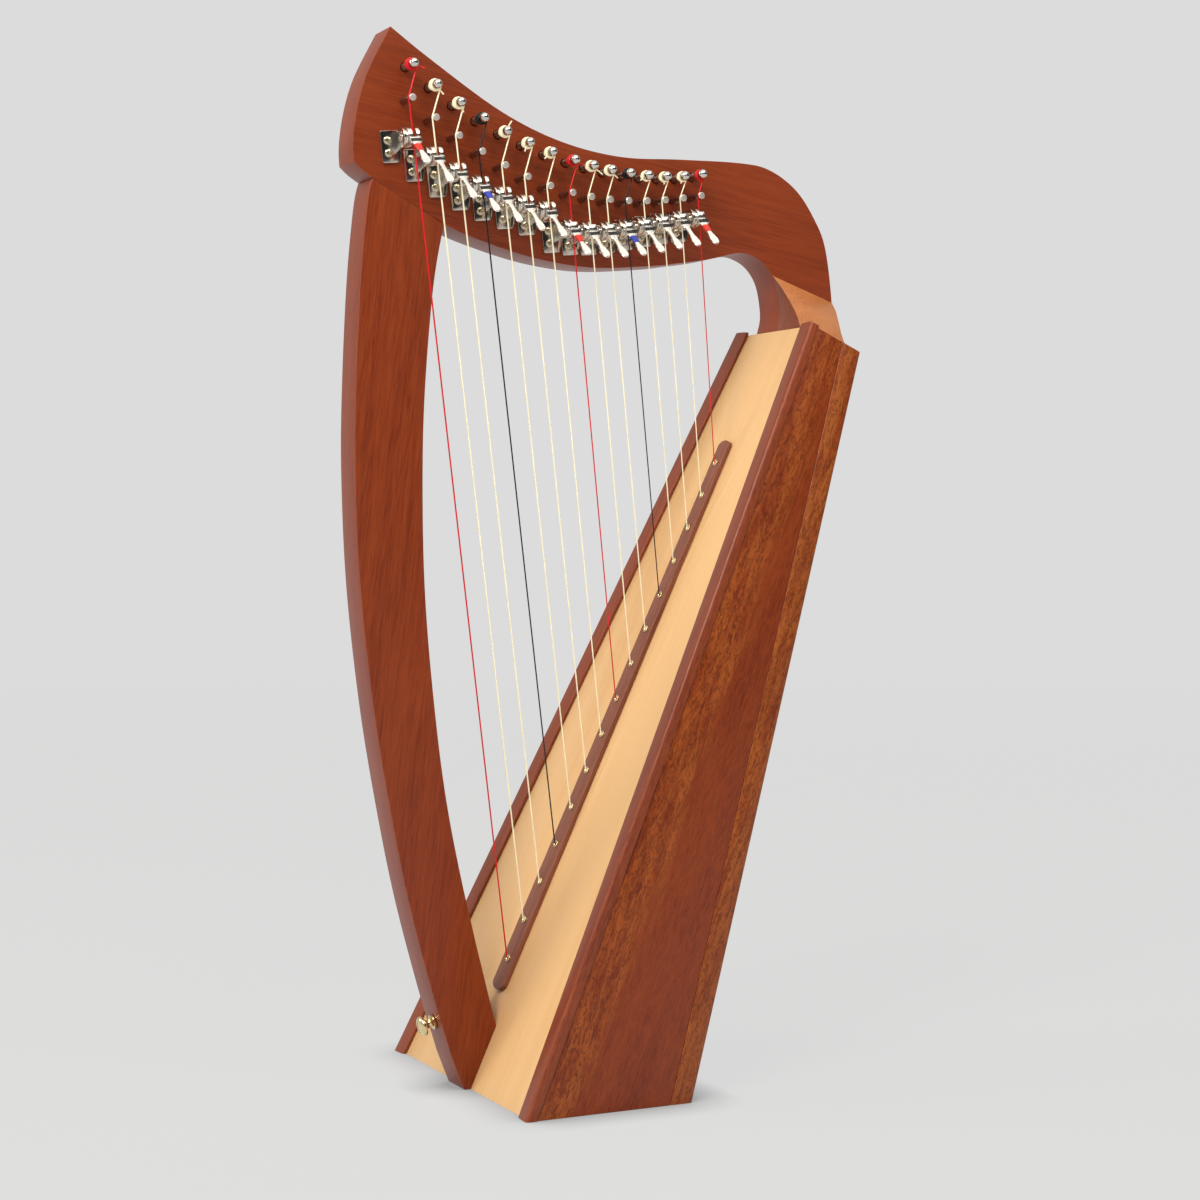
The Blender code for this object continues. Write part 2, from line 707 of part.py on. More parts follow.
def empty_at(name, x, y, z):
    """An empty on a joint's axis, in row coordinates."""
    item = bpy.data.objects.new(name, None)
    item.empty_display_size = 0.01
    item.location = ((x - CENTRE_X) * MM, y * MM, z * MM)
    bpy.context.collection.objects.link(item)
    print("axis", name, [round(v, 6) for v in item.location])
    return item


def centred(bm, name, made, smooth=True):
    """An object whose own origin stays at the design origin, for a shared mesh."""
    bmesh.ops.recalc_face_normals(bm, faces=bm.faces)
    mesh = bpy.data.meshes.new(name)
    bm.to_mesh(mesh)
    bm.free()
    for v in mesh.vertices:
        v.co *= MM
    item = bpy.data.objects.new(name, mesh)
    bpy.context.collection.objects.link(item)
    if made is not None:
        mesh.materials.append(made)
    if smooth:
        mesh.shade_smooth()
        mesh.set_sharp_from_angle(angle=math.radians(35))
    return item


# Tuning pins: ball end in front, square drive behind
bm = bmesh.new()
profile = [(PIN_RADIUS, -FRAME_THICK - PIN_BACK_STAND), (PIN_RADIUS, PIN_STAND - PIN_BALL_RADIUS)]
for angle in PIN_BALL_ANGLES:
    a = math.radians(angle)
    profile.append((PIN_BALL_RADIUS * math.cos(a), PIN_STAND + PIN_BALL_RADIUS * math.sin(a)))
turned(bm, (0.0, 0.0, 0.0), (0.0, -1.0, 0.0), profile, PIN_SIDES)
pin_item = centred(bm, "pin_master", nickel)
bm = bmesh.new()
s = PIN_DRIVE_SIDE / 2
cuboid(bm, (-s, FRAME_THICK + PIN_BACK_STAND - PIN_DRIVE_SUNK, -s),
       (s, FRAME_THICK + PIN_BACK_STAND + PIN_DRIVE_LENGTH, s))
boolean(pin_item, centred(bm, "drive_tool", None, False), "UNION")
pin_mesh = pin_item.data
pin_mesh.shade_smooth()
pin_mesh.set_sharp_from_angle(angle=math.radians(35))
bpy.data.objects.remove(pin_item, do_unlink=True)
for i, (x, z) in enumerate(pins):
    hub = empty_at("axis_pin_%02d" % (i + 1), x, frame_y(x, z, 0.0), z)
    item = bpy.data.objects.new("tuning_pin_%02d" % (i + 1), pin_mesh)
    bpy.context.collection.objects.link(item)
    item.parent = hub


# Levers and their brackets: x along the hinge, -y out from the neck, z along the string
tilt = math.radians(LEVER_TILT)


def on_arc(angle, reach, rise):
    """A point of the lever's curve, by angle up from the front."""
    a = math.radians(angle)
    return -reach * math.cos(a), rise * math.sin(a)


def disc_outline():
    """The lever's side wall: round behind the axle, drawn forward in front of it."""
    points = []
    for k in range(DISC_SIDES):
        angle = 360 * k / DISC_SIDES
        front = math.cos(math.radians(angle)) > 0
        points.append(on_arc(angle, SHELL_REACH if front else DISC_RADIUS, DISC_RADIUS))
    return points


def arc_strip(reach, start, end, steps):
    """A curved strip of the lever's shell between two angles."""
    outer = [on_arc(start + (end - start) * k / steps, reach, DISC_RADIUS) for k in range(steps + 1)]
    inner = [on_arc(start + (end - start) * k / steps, reach - SHELL_THICK, DISC_RADIUS - SHELL_THICK)
             for k in range(steps, -1, -1)]
    return outer + inner


def extrude_x(outline, left, right):
    """A tool with this (y, z) outline between two x values."""
    bm = bmesh.new()
    loft(bm, [[Vector((x, y, z)) for y, z in outline] for x in (left, right)])
    return centred(bm, "tool", None, False)


def handle():
    """A tapered handle ending in a rounded spoon."""
    start = Vector((0.0, -HANDLE_ROOT[0], HANDLE_ROOT[1]))
    reach = Vector((0.0, -HANDLE_TIP[0], HANDLE_TIP[1])) - start
    broad = Vector((1.0, 0.0, 0.0))
    thin = reach.normalized().cross(broad) * HANDLE_THICK / 2
    bm = bmesh.new()
    rings = []
    for share, width in HANDLE_WIDTHS:
        centre = start + reach * share
        rings.append([centre + broad * u * width / 2 + thin * v
                      for u, v in ((-1, -1), (1, -1), (1, 1), (-1, 1))])
    loft(bm, rings)
    return centred(bm, "tool", None, False)


def build_lever(name, fork):
    shift = 0.0 if fork else TREBLE_SHIFT
    ear_right = EAR_LEFT + EAR_THICK + shift
    left = -FORK_HALF if fork else CAP_LEFT
    bm = bmesh.new()
    wall_right = -FORK_SLOT if fork else CAP_LEFT + CAP_WALL
    loft(bm, [[Vector((x, y, z)) for y, z in disc_outline()] for x in (left, wall_right)])
    item = centred(bm, name, nickel)
    head = EAR_LEFT + shift - RUNNING_GAP * 2 - RIVET_THICK
    washer = ear_right + RUNNING_GAP * 2 - head
    bm = bmesh.new()
    turned(bm, (head, 0.0, 0.0), (1.0, 0.0, 0.0),
           [(RIVET_RADIUS, 0.0), (RIVET_RADIUS, RIVET_THICK), (AXLE_RADIUS, RIVET_THICK),
            (AXLE_RADIUS, washer), (WASHER_RADIUS, washer),
            (WASHER_RADIUS, left + WALL_OVERLAP - head)], EAR_SIDES)
    parts = [centred(bm, "tool", None, False)]
    floor = math.degrees(math.asin(FLANGE_LOW / DISC_RADIUS))
    if fork:
        root = math.degrees(math.asin(FORK_ROOT / DISC_RADIUS))
        parts.append(extrude_x(arc_strip(SHELL_REACH, floor, FORK_TIP, 3), FORK_SLOT, FORK_HALF))
        parts.append(extrude_x(arc_strip(SHELL_REACH, floor, root, 1), -FORK_HALF + FACE_STEP,
                               FORK_HALF - FACE_STEP))
    else:
        parts.append(extrude_x(arc_strip(SHELL_REACH, floor, CAP_TOP, 3), CAP_LEFT + FACE_STEP,
                               CAP_RIGHT))
        parts.append(extrude_x(arc_strip(DISC_RADIUS, CAP_BACK_FROM, CAP_BACK_TO, 3),
                               CAP_LEFT + FACE_STEP, CAP_RIGHT))
    face = SHELL_REACH - FLANGE_ROOT
    flange = [(-face, FLANGE_TOP), (-SHELL_REACH - FLANGE_OUT, FLANGE_TOP),
              (-SHELL_REACH - FLANGE_OUT, FLANGE_LOW), (-face + FLANGE_SLANT, FLANGE_LOW)]
    parts.append(extrude_x(flange, -FORK_HALF + 2 * FACE_STEP, FORK_HALF - 2 * FACE_STEP))
    parts.append(handle())
    for tool in parts:
        boolean(item, tool, "UNION")
    item.data.shade_smooth()
    item.data.set_sharp_from_angle(angle=math.radians(35))
    return item


def build_bracket(name, shift):
    """A screwed plate with a round ear that carries the axle."""
    back_y = AXIS_STAND - SEAT_GAP
    left, right = PLATE_LEFT + shift, PLATE_RIGHT + shift
    lean_x = LEAN_X * math.cos(tilt) + LEAN_Z * math.sin(tilt)
    lean_z = LEAN_Z * math.cos(tilt) - LEAN_X * math.sin(tilt)
    bm = bmesh.new()
    face = [(left, PLATE_LOW), (right - PLATE_CORNER, PLATE_LOW),
            (right - PLATE_CORNER / 2, PLATE_LOW + PLATE_CORNER * 0.6),
            (right, PLATE_LOW + 3 * PLATE_CORNER), (right - PLATE_DRAWN_IN, PLATE_TOP),
            (left, PLATE_TOP)]
    loft(bm, [[Vector((x, y + lean_x * x + lean_z * z, z)) for x, z in face]
              for y in (back_y - PLATE_THICK, back_y)])
    item = centred(bm, name, nickel)
    foot_y = back_y - PLATE_THICK / 2
    ring = [(foot_y, EAR_FOOT_TOP)]
    for k in range(EAR_STEPS + 1):
        a = math.radians(EAR_SPREAD * (1 - 2 * k / EAR_STEPS))
        ring.append((-EAR_RADIUS * math.cos(a), EAR_RADIUS * math.sin(a)))
    ring.append((foot_y, EAR_FOOT_LOW))
    boolean(item, extrude_x(ring, EAR_LEFT + shift, EAR_LEFT + EAR_THICK + shift), "UNION")
    bm = bmesh.new()
    bar(bm, (EAR_LEFT + shift - EAR_BORE_REACH, 0.0, 0.0),
        (EAR_LEFT + EAR_THICK + shift + EAR_BORE_REACH, 0.0, 0.0),
        (AXLE_RADIUS + RUNNING_GAP) / math.cos(math.pi / EAR_SIDES), EAR_SIDES)
    boolean(item, centred(bm, "tool", None, False), "DIFFERENCE")
    bm = bmesh.new()
    for z in SCREW_Z:
        x = SCREW_X + shift
        y = foot_y + lean_x * x + lean_z * z
        bar(bm, (x, y, z), (x, y - PLATE_THICK / 2 - SCREW_STAND, z), SCREW_RADIUS, SCREW_SIDES, 0.5,
            SCREW_RADIUS * SCREW_TAPER)
    boolean(item, centred(bm, "tool", None, False), "UNION")
    return item


lever_items = {}
bracket_items = {}
for fork in (True, False):
    master = build_lever("lever_master", fork)
    lever_items[fork] = master.data
    bpy.data.objects.remove(master, do_unlink=True)
    master = build_bracket("bracket_master", 0.0 if fork else TREBLE_SHIFT)
    bracket_items[fork] = master.data
    bpy.data.objects.remove(master, do_unlink=True)

places = []
for i in range(STRINGS):
    bridge_point, hole = string_lines[i]
    z = axis_height(i)
    t = (bridge_point.z - z) / (bridge_point.z - hole.z)
    at = bridge_point.lerp(hole, t)
    y = frame_y(at.x, z, AXIS_STAND)
    places.append((at.x, y, z))
    hub = empty_at("axis_lever_%02d" % (i + 1), at.x, y, z)
    hub.rotation_euler = (0.0, -tilt, 0.0)
    item = bpy.data.objects.new("lever_%02d" % (i + 1), lever_items[i < LEVER_BASS])
    bpy.context.collection.objects.link(item)
    item.parent = hub
print("lever axis direction:", (round(-math.cos(tilt), 6), 0.0, round(-math.sin(tilt), 6)))

group = None
for i, (x, y, z) in enumerate(places):
    item = bpy.data.objects.new("tool", bracket_items[i < LEVER_BASS].copy())
    bpy.context.collection.objects.link(item)
    item.data.transform(Matrix.Translation(Vector((x - CENTRE_X, y, z)) * MM)
                        @ Matrix.Rotation(-tilt, 4, "Y"))
    if group is None:
        group = item
        group.name = "lever_brackets"
        continue
    ends = []
    for k, edge in ((i - 1, PLATE_RIGHT - WEB_INTO_RIGHT), (i, PLATE_LEFT + WEB_INTO_LEFT)):
        edge += 0.0 if k < LEVER_BASS else TREBLE_SHIFT
        kx, _, kz = places[k]
        ends.append((kx + edge * math.cos(tilt) + WEB_BELOW_AXIS * math.sin(tilt),
                     kz + edge * math.sin(tilt) - WEB_BELOW_AXIS * math.cos(tilt)))
    (x0, z0), (x1, z1) = ends
    bm = bmesh.new()
    slab(bm, ((x0, z0 - WEB_HALF), (x1, z1 - WEB_HALF), (x1, z1 + WEB_HALF), (x0, z0 + WEB_HALF)),
         WEB_STAND, WEB_STAND + WEB_THICK)
    boolean(group, holder(bm, "web_tool"), "UNION")
    boolean(group, item, "UNION")
group.data.materials.clear()
group.data.materials.append(nickel)
for mesh in bracket_items.values():
    bpy.data.meshes.remove(mesh)

# Strap button, square to the pillar's front edge
front_points = pillar_front_line
for p, q in zip(front_points, front_points[1:]):
    if p.y >= BUTTON_HEIGHT >= q.y:
        t = (p.y - BUTTON_HEIGHT) / (p.y - q.y)
        spot = p.lerp(q, t)
        edge_way = (q - p).normalized()
out_way = Vector((edge_way.y, 0.0, -edge_way.x))
centre = Vector((spot.x, frame_y(spot.x, spot.y, -FRAME_THICK / 2), spot.y)) + out_way * SEAT_GAP
bm = bmesh.new()
turned(bm, centre, out_way, BUTTON_PROFILE, BUTTON_SIDES)
add_object("strap_button", bm, brass, True)
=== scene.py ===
"""Looks of the fifteen-string lever harp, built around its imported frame.

The boards are rebuilt from their own outlines with rounded edges, the metal parts and
the strings are made again in fine detail, and every piece gets a procedural material.
Sizes are in metres, or in millimetres under a heading that says so.
"""
import json
from math import acos, asin, atan2, copysign, cos, degrees, pi, radians, sin

import bmesh
import bpy
import numpy as np
from mathutils import Matrix, Vector


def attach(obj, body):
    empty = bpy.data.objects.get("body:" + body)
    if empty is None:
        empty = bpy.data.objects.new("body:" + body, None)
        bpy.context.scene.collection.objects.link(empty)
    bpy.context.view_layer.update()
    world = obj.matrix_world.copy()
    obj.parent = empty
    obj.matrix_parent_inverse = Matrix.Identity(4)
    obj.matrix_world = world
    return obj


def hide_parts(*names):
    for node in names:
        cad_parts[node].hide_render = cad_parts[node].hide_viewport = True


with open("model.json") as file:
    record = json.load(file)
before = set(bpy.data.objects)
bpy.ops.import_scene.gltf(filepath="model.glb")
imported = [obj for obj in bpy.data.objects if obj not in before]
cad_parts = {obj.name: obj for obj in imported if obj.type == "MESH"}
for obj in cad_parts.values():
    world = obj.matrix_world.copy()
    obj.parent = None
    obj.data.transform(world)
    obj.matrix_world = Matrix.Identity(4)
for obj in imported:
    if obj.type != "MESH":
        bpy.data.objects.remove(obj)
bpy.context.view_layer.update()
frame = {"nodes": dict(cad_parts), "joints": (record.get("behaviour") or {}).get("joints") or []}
nodes = frame["nodes"]

MM = 0.001
FULL_TURN = 2 * pi
X_AXIS = Vector((1.0, 0.0, 0.0))
Y_AXIS = Vector((0.0, 1.0, 0.0))
Z_AXIS = Vector((0.0, 0.0, 1.0))
SQUARE = ((-1, -1), (1, -1), (1, 1), (-1, 1))
SAME_POINT = 1e-7
STRAIGHT = 1e-6

STRINGS = 15
BASS_LEVERS = 7
NAMES = ["%02d" % (i + 1) for i in range(STRINGS)]
RED_STRINGS = (0, 7, 14)
BLACK_STRINGS = (3, 10)

# Wood edges and seams
WOOD_ANGLE = 30.0
BOARD_EDGE = 1.3 * MM
BLOCK_EDGE = 0.7 * MM
PANEL_EDGE = 0.45 * MM
SIDE_REAR_RAIL = 15.5 * MM
SEAM = 0.12 * MM
BELOW_FLOOR = 70.0 * MM
FLOOR_GAP = 0.02 * MM

# Trims and string strip
TRIM_WIDTH = 16.0 * MM
TRIM_ROUND = 2.4 * MM
TRIM_SOFT = 0.7 * MM
TRIM_CROWN = 0.9 * MM
TRIM_STEPS = 12
TRIM_LIP = 2.2 * MM
STRIP_END_SHARE = 0.55
STRIP_CHAMFER = 0.5 * MM

# Tuning pins: radii and distances off the neck's near face
PIN_RADIUS = 2.6 * MM
PIN_NECK = 0.86 * PIN_RADIUS
PIN_BALL = 3.2 * MM
PIN_STAND = 17.3 * MM
PIN_THREAD_FROM = 0.4 * MM
PIN_THREAD_TO = 8.8 * MM
PIN_THREAD_PITCH = 0.7 * MM
PIN_THREAD_DEPTH = 0.12 * MM
PIN_BORE_GAP = 0.3 * MM
PIN_BORE_CHAMFER = 0.5 * MM
PIN_BACK = 3.0 * MM
PIN_DRIVE = 4.6 * MM
PIN_DRIVE_LENGTH = 11.0 * MM
PIN_DRIVE_ROOT = 2.0 * MM
PIN_DRIVE_TAPER = ((0.0, 1.0), (0.93, 0.94), (1.0, 0.8))
BORE_OVER = 1.0 * MM
ROUND_SIDES = 32

# Bridge pins
BRIDGE_RADIUS = 2.3 * MM
BRIDGE_WAIST = 1.75 * MM
BRIDGE_ROOT = -3.0 * MM
STRING_STAND = 17.4 * MM

# Strings, their windings and the tails' free ends (angle in degrees, reach in mm)
STRING_BASS = 1.08 * MM
STRING_TREBLE = 0.72 * MM
WIND_START = 13.9 * MM
WIND_STEPS = 20
WIND_TURNS = 3.0
WIND_OVER = 1.6
WIND_EASE = 0.2
WIND_PITCH = 2.02
WIND_SEAT = 0.93
WIND_LAYER = 1.45
BRIDGE_SEAT = 0.9
TAILS = ((335.0, 4.8), (300.0, 4.2), (285.0, 3.0), (200.0, 1.0), (55.0, 4.4), (235.0, 3.2), (215.0, 3.4),
         (330.0, 4.8), (315.0, 5.6), (305.0, 3.8), (315.0, 5.8), (205.0, 3.2), (250.0, 1.2), (240.0, 1.0),
         (250.0, 1.0))
TAIL_STEPS = 12
TAIL_RISE = 0.5 * MM
TAIL_LEAN = 0.35
TAIL_BEND = ((0.5, 0.5), (0.7, 2.0))
EYE_RISE = 0.35 * MM
EYE_DEPTH = 2.0 * MM
KNOT_DEPTH = 12.4 * MM

# Knots in mm: height over the knot's middle and radius, 0 for the string's own
KNOT_PROFILE = ((2.4, 0.0), (1.2, 1.5), (0.0, 1.8), (-1.1, 1.3), (-1.6, 0.0))

# Eyelets in mm: the bore and the ring's section as (radius, height) pairs
EYELET_BORE = ((1.9, -3.2), (1.9, 1.0))
EYELET_PROFILE = ((1.4, -2.6), (1.85, -2.6), (1.85, -0.75), (2.3, -0.7), (2.5, -0.45), (2.42, -0.12),
                  (2.15, 0.0), (1.85, -0.03), (1.6, -0.2), (1.42, -0.6))
EYELET_SIDES = 24

# Levers in mm, in each lever's own axes: x along the hinge, -y off the neck, z up the string
LEVER_TILT = radians(6.0)
TREBLE_SHIFT = 1.0
AXIS_STAND = 13.3
EAR_LEFT = -6.6
EAR_THICK = 1.5
EAR_RADIUS = 6.4
EAR_FOOT_TOP = 4.6
EAR_FOOT_LOW = -6.8
EAR_HALF_ANGLE = 84.0
AXLE_RADIUS = 1.5
RIVET_RADIUS = 2.4
RIVET_THICK = 0.8
AXLE_GAP = 0.2
AXLE_BITE = 0.4
WASHER_RADIUS = 5.0
WASHER_CHAMFER = 0.15
DISC_RADIUS = 6.5
DISC_STEPS = 48
SHELL_REACH = 8.0
SHELL_THICK = 1.3
SHELL_INSET = 0.1
SHELL_EDGE = 0.4
TIP_ANGLE = 4.0
TIP_SHARE = 0.6
FORK_HALF = 3.9
FORK_SLOT = 0.95
FORK_CLEAR = 0.35
FORK_TIP = 52.0
FORK_ROOT = -0.6
CAP_LEFT = -2.6
CAP_RIGHT = 2.5
CAP_WALL = 1.8
CAP_TOP = 34.0
CAP_BACK = (112.0, 190.0)
FLANGE_TOP = -1.2
FLANGE_LOW = -5.0
FLANGE_OUT = 1.7
FLANGE_ROOT = 7.0
FLANGE_SLOPE = 1.4
FLANGE_INSET = 0.04
HANDLE_START = Vector((0.0, -9.0, -4.2))
HANDLE_END = Vector((0.0, -26.0, -19.8))
HANDLE_THICK = 1.5
HANDLE_WIDTHS = ((0.0, 6.4), (0.08, 5.4), (0.17, 3.6), (0.32, 3.2), (0.5, 3.4), (0.64, 4.7), (0.8, 5.9),
                 (0.92, 5.3), (0.98, 3.9), (1.0, 2.6))
HANDLE_STEPS = 40
HANDLE_POWERS = (0.55, 0.7)
DISH_DEPTH = 0.28
DISH_FROM = 0.55
DISH_WIDTH = 0.7
SLEEVE_FROM = 0.13
SLEEVE_TO = 0.42
SLEEVE_THICK = 0.5
SLEEVE_RIM = 0.72
SLEEVE_STEPS = 12

# Plates and screws in mm, in the same axes; the curve is in corner sizes from the lower right
PLATE_LEFT = -16.3
PLATE_RIGHT = -3.2
PLATE_TOP = 6.3
PLATE_LOW = -14.4
PLATE_THICK = 1.2
PLATE_CUT = 0.8
PLATE_CORNER = 2.4
PLATE_CURVE = ((-1.4, 0.0), (-0.62, 0.35), (-0.25, 1.3), (-0.1, 2.2), (0.0, 3.0))
PLATE_SHOULDER = ((-0.3, -4.0), (-1.3, 0.0))
PLATE_GAP = 0.3
SCREW_RADIUS = 2.7
SCREW_TOP = 1.3
SCREW_RIM = 0.25
SCREW_ROOT = -0.3
SCREW_X = -11.7
SCREW_HEIGHTS = (0.0, -8.2)
CROSS_TURN = 25.0
CROSS_SECTIONS = ((-SCREW_TOP - 0.3, 1.75, 0.42), (-SCREW_TOP + 0.25, 1.5, 0.34), (-0.25, 0.5, 0.2))

# Strap button in mm: (radius, distance) pairs, and the slot in its end
BUTTON_PROFILE = ((4.7, 0.0), (5.0, 0.3), (5.0, 1.5), (4.4, 2.0), (3.2, 2.6), (2.7, 3.4), (2.7, 4.8),
                  (3.0, 5.8), (4.2, 6.5), (5.8, 6.9), (6.45, 7.4), (6.6, 8.1), (6.45, 8.9), (5.8, 9.8),
                  (4.5, 10.6), (2.7, 11.2), (1.0, 11.4))
BUTTON_SLOT_HALF = 4.0
BUTTON_SLOT_WIDE = 0.5
BUTTON_SLOT_ENDS = (10.5, 12.5)


# Meshes

def spread(start, end, steps):
    """Even values from start to end, both included."""
    return [start + (end - start) * k / steps for k in range(steps + 1)]


def quarter(steps):
    """Angles from nothing to a quarter of a turn."""
    return spread(0.0, pi / 2, steps)


def circles(origin, way, side, profile, steps):
    """Rings round a line, from (radius, distance) pairs and the direction of their first points."""
    spokes = [cos(a) * side + sin(a) * way.cross(side) for a in spread(0.0, FULL_TURN, steps)[:-1]]
    return [[origin + way * distance + radius * spoke for spoke in spokes] for radius, distance in profile]


def in_mm(pairs):
    return [(a * MM, b * MM) for a, b in pairs]


def add_object(name, data):
    item = bpy.data.objects.new(name, data)
    bpy.context.scene.collection.objects.link(item)
    return item


def paint(item, made):
    """Puts a piece in one material, or leaves it as it is if there is none yet."""
    if made is not None:
        item.data.materials.clear()
        item.data.materials.append(made)


def paint_part(item, made, picked):
    """Gives the picked faces a second material."""
    item.data.materials.append(made)
    for face in item.data.polygons:
        face.material_index = int(picked(face))


def finish_mesh(item, made, angle=38.0):
    """Paints a piece and shades it smooth up to an angle in degrees."""
    paint(item, made)
    item.data.shade_smooth()
    item.data.set_sharp_from_angle(angle=radians(angle))


def to_object(name, bm, made=None, angle=38.0):
    """An object from a bmesh, its faces turned out."""
    bmesh.ops.recalc_face_normals(bm, faces=bm.faces)
    mesh = bpy.data.meshes.new(name)
    bm.to_mesh(mesh)
    bm.free()
    item = add_object(name, mesh)
    finish_mesh(item, made, angle)
    return item


def evaluated_mesh(item):
    bpy.context.view_layer.update()
    graph = bpy.context.evaluated_depsgraph_get()
    return bpy.data.meshes.new_from_object(item.evaluated_get(graph))


def apply_modifiers(item):
    """Puts the evaluated mesh in place of the object's own and drops its modifiers."""
    mesh = evaluated_mesh(item)
    item.modifiers.clear()
    old = item.data
    item.data = mesh
    bpy.data.meshes.remove(old)


def round_edges(item, width, segments, angle, made=None):
    """Rounds the edges that are sharper than an angle in degrees, and finishes a wooden piece."""
    step = item.modifiers.new("edges", "BEVEL")
    step.width = width
    step.segments = segments
    step.limit_method = "ANGLE"
    step.angle_limit = radians(angle)
    step.miter_outer = "MITER_ARC"
    apply_modifiers(item)
    if made is not None:
        finish_mesh(item, made, WOOD_ANGLE)


def combine(item, tool, operation="UNION"):
    step = item.modifiers.new("combine", "BOOLEAN")
    step.operation = operation
    step.solver = "EXACT"
    step.object = tool
    apply_modifiers(item)
    bpy.data.objects.remove(tool, do_unlink=True)


def placed_copy(name, shape, matrix, made=None):
    """A copy of a master piece, moved by a matrix."""
    item = add_object(name, shape.data.copy())
    item.data.transform(matrix)
    paint(item, made)
    return item


def loft(bm, rings, looped=False):
    """Faces between rings of points, closed at both ends or looped back to the first ring."""
    made = [[bm.verts.new(p) for p in ring] for ring in rings]
    count = len(made[0])
    for low, top in zip(made, made[1:] + made[:1] if looped else made[1:]):
        for i in range(count):
            j = (i + 1) % count
            bm.faces.new((low[i], low[j], top[j], top[i]))
    if not looped:
        bm.faces.new(list(reversed(made[0])))
        bm.faces.new(made[-1])


def lofted(name, rings, made=None, angle=38.0, looped=False):
    bm = bmesh.new()
    loft(bm, rings, looped)
    return to_object(name, bm, made, angle)


def turned(name, origin, way, profile, sides, made=None, angle=38.0):
    """A turned piece: (radius, distance) pairs along a direction."""
    side = Z_AXIS if abs(way.z) < 0.9 else X_AXIS
    side = (side - way * side.dot(way)).normalized()
    return lofted(name, circles(origin, way, side, profile, sides), made, angle)


def smooth_line(points, steps, corner=pi):
    """A smooth closed line through the points; a corner sharper than the angle stays sharp."""
    count = len(points)
    ahead = points[1:] + points[:1]
    sharp = [(b - a).angle(c - b) > corner for a, b, c in zip(points[-1:] + points[:-1], points, ahead)]
    out = []
    for i in range(count):
        j = (i + 1) % count
        b, c = points[i], points[j]
        a = b if sharp[i] else points[i - 1]
        d = c if sharp[j] else ahead[j]
        for t in spread(0.0, 1.0, steps)[:-1]:
            out.append(0.5 * (2 * b + (c - a) * t + (2 * a - 5 * b + 4 * c - d) * t * t
                              + (3 * b - a - 3 * c + d) * t * t * t))
    return out


def cut(bm, point, normal):
    """Cuts a closed mesh by a plane, drops the side its normal points to and fills the hole."""
    everything = bm.verts[:] + bm.edges[:] + bm.faces[:]
    found = bmesh.ops.bisect_plane(bm, geom=everything, dist=SAME_POINT, plane_co=point,
                                   plane_no=normal, clear_outer=True)
    edges = [e for e in found["geom_cut"] if isinstance(e, bmesh.types.BMEdge)]
    bmesh.ops.edgeloop_fill(bm, edges=edges)


def node_mesh(node):
    """The node's solid with its split points joined again."""
    bm = bmesh.new()
    bm.from_mesh(nodes[node].data)
    bmesh.ops.remove_doubles(bm, verts=bm.verts, dist=1e-6)
    return bm


def node_corners(node):
    bm = node_mesh(node)
    corners = [v.co.copy() for v in bm.verts]
    bm.free()
    return corners


def face_loops(bm, picked):
    """The closed edge loops round a set of faces, longest first."""
    chosen = set(picked)
    follow = {}
    for face in picked:
        for loop in face.loops:
            if any(f not in chosen for f in loop.edge.link_faces):
                follow.setdefault(loop.vert, []).append(loop.link_loop_next.vert)
    loops = []
    while follow:
        start = next(iter(follow))
        line = [start]
        while line[-1] in follow:
            here = line[-1]
            ahead = follow[here].pop()
            if not follow[here]:
                del follow[here]
            if ahead is start:
                break
            line.append(ahead)
        loops.append([v.co.copy() for v in line])
    loops.sort(key=lambda p: -sum((b - a).length for a, b in zip(p, p[1:] + p[:1])))
    return loops


def straighten(points):
    """Drops the points that lie on a straight line between their neighbours."""
    kept = list(points)
    changed = True
    while changed:
        changed = False
        for i in range(len(kept)):
            a, b, c = kept[i - 1], kept[i], kept[(i + 1) % len(kept)]
            way = c - a
            if (b - a).cross(way).length < STRAIGHT * way.length:
                kept.pop(i)
                changed = True
                break
    return kept


def grouped(points, reach):
    """Middles of the groups of points that lie within this reach in X, in order of X."""
    groups = []
    for p in sorted(points, key=lambda q: q.x):
        if groups and p.x - groups[-1][-1].x < reach:
            groups[-1].append(p)
        else:
            groups.append([p])
    return [mean(group) for group in groups]


def mean(points):
    return sum(points, Vector()) / len(points)


# What the frame says

pin_places = []
lever_places = []
for joint in frame["joints"]:
    places = pin_places if joint["child"].startswith("tuning_pin") else lever_places
    places.append(Vector(joint["pos_m"]))

fit = np.array([[1.0, p.x, p.z] for p in pin_places])
plane = np.linalg.lstsq(fit, np.array([p.y for p in pin_places]), rcond=None)[0]
FACE_Y, LEAN_X, LEAN_Z = (float(value) for value in plane)


def face_y(x, z, stand):
    """Y of a point standing this far off the near face of the neck and pillar."""
    return FACE_Y + LEAN_X * x + LEAN_Z * z - stand


def stand_of(p):
    return face_y(p.x, p.z, 0.0) - p.y


def around(place, angle, reach, stand):
    """A point at an angle round a pin, standing this far off the near face."""
    return Vector((place.x + reach * cos(angle), face_y(place.x, place.z, stand),
                   place.z + reach * sin(angle)))


neck_bm = node_mesh("neck")
neck_corners = node_corners("neck")
FRAME_THICK = -min(stand_of(p) for p in neck_corners)
bridge_ends = [p for p in neck_corners if stand_of(p) > STRING_STAND]
BRIDGE_STAND = max(stand_of(p) for p in bridge_ends)
bridge_places = grouped(bridge_ends, 6 * MM)

board_bm = node_mesh("soundboard")
widest_face = max(board_bm.faces, key=lambda f: f.calc_area() * (f.normal.z > 0) * (f.normal.x < 0))
BOARD_OUT = widest_face.normal.copy()
BOARD_ALONG = Vector((BOARD_OUT.z, 0.0, -BOARD_OUT.x))
BOARD_POINT = Vector((widest_face.verts[0].co.x, 0.0, widest_face.verts[0].co.z))


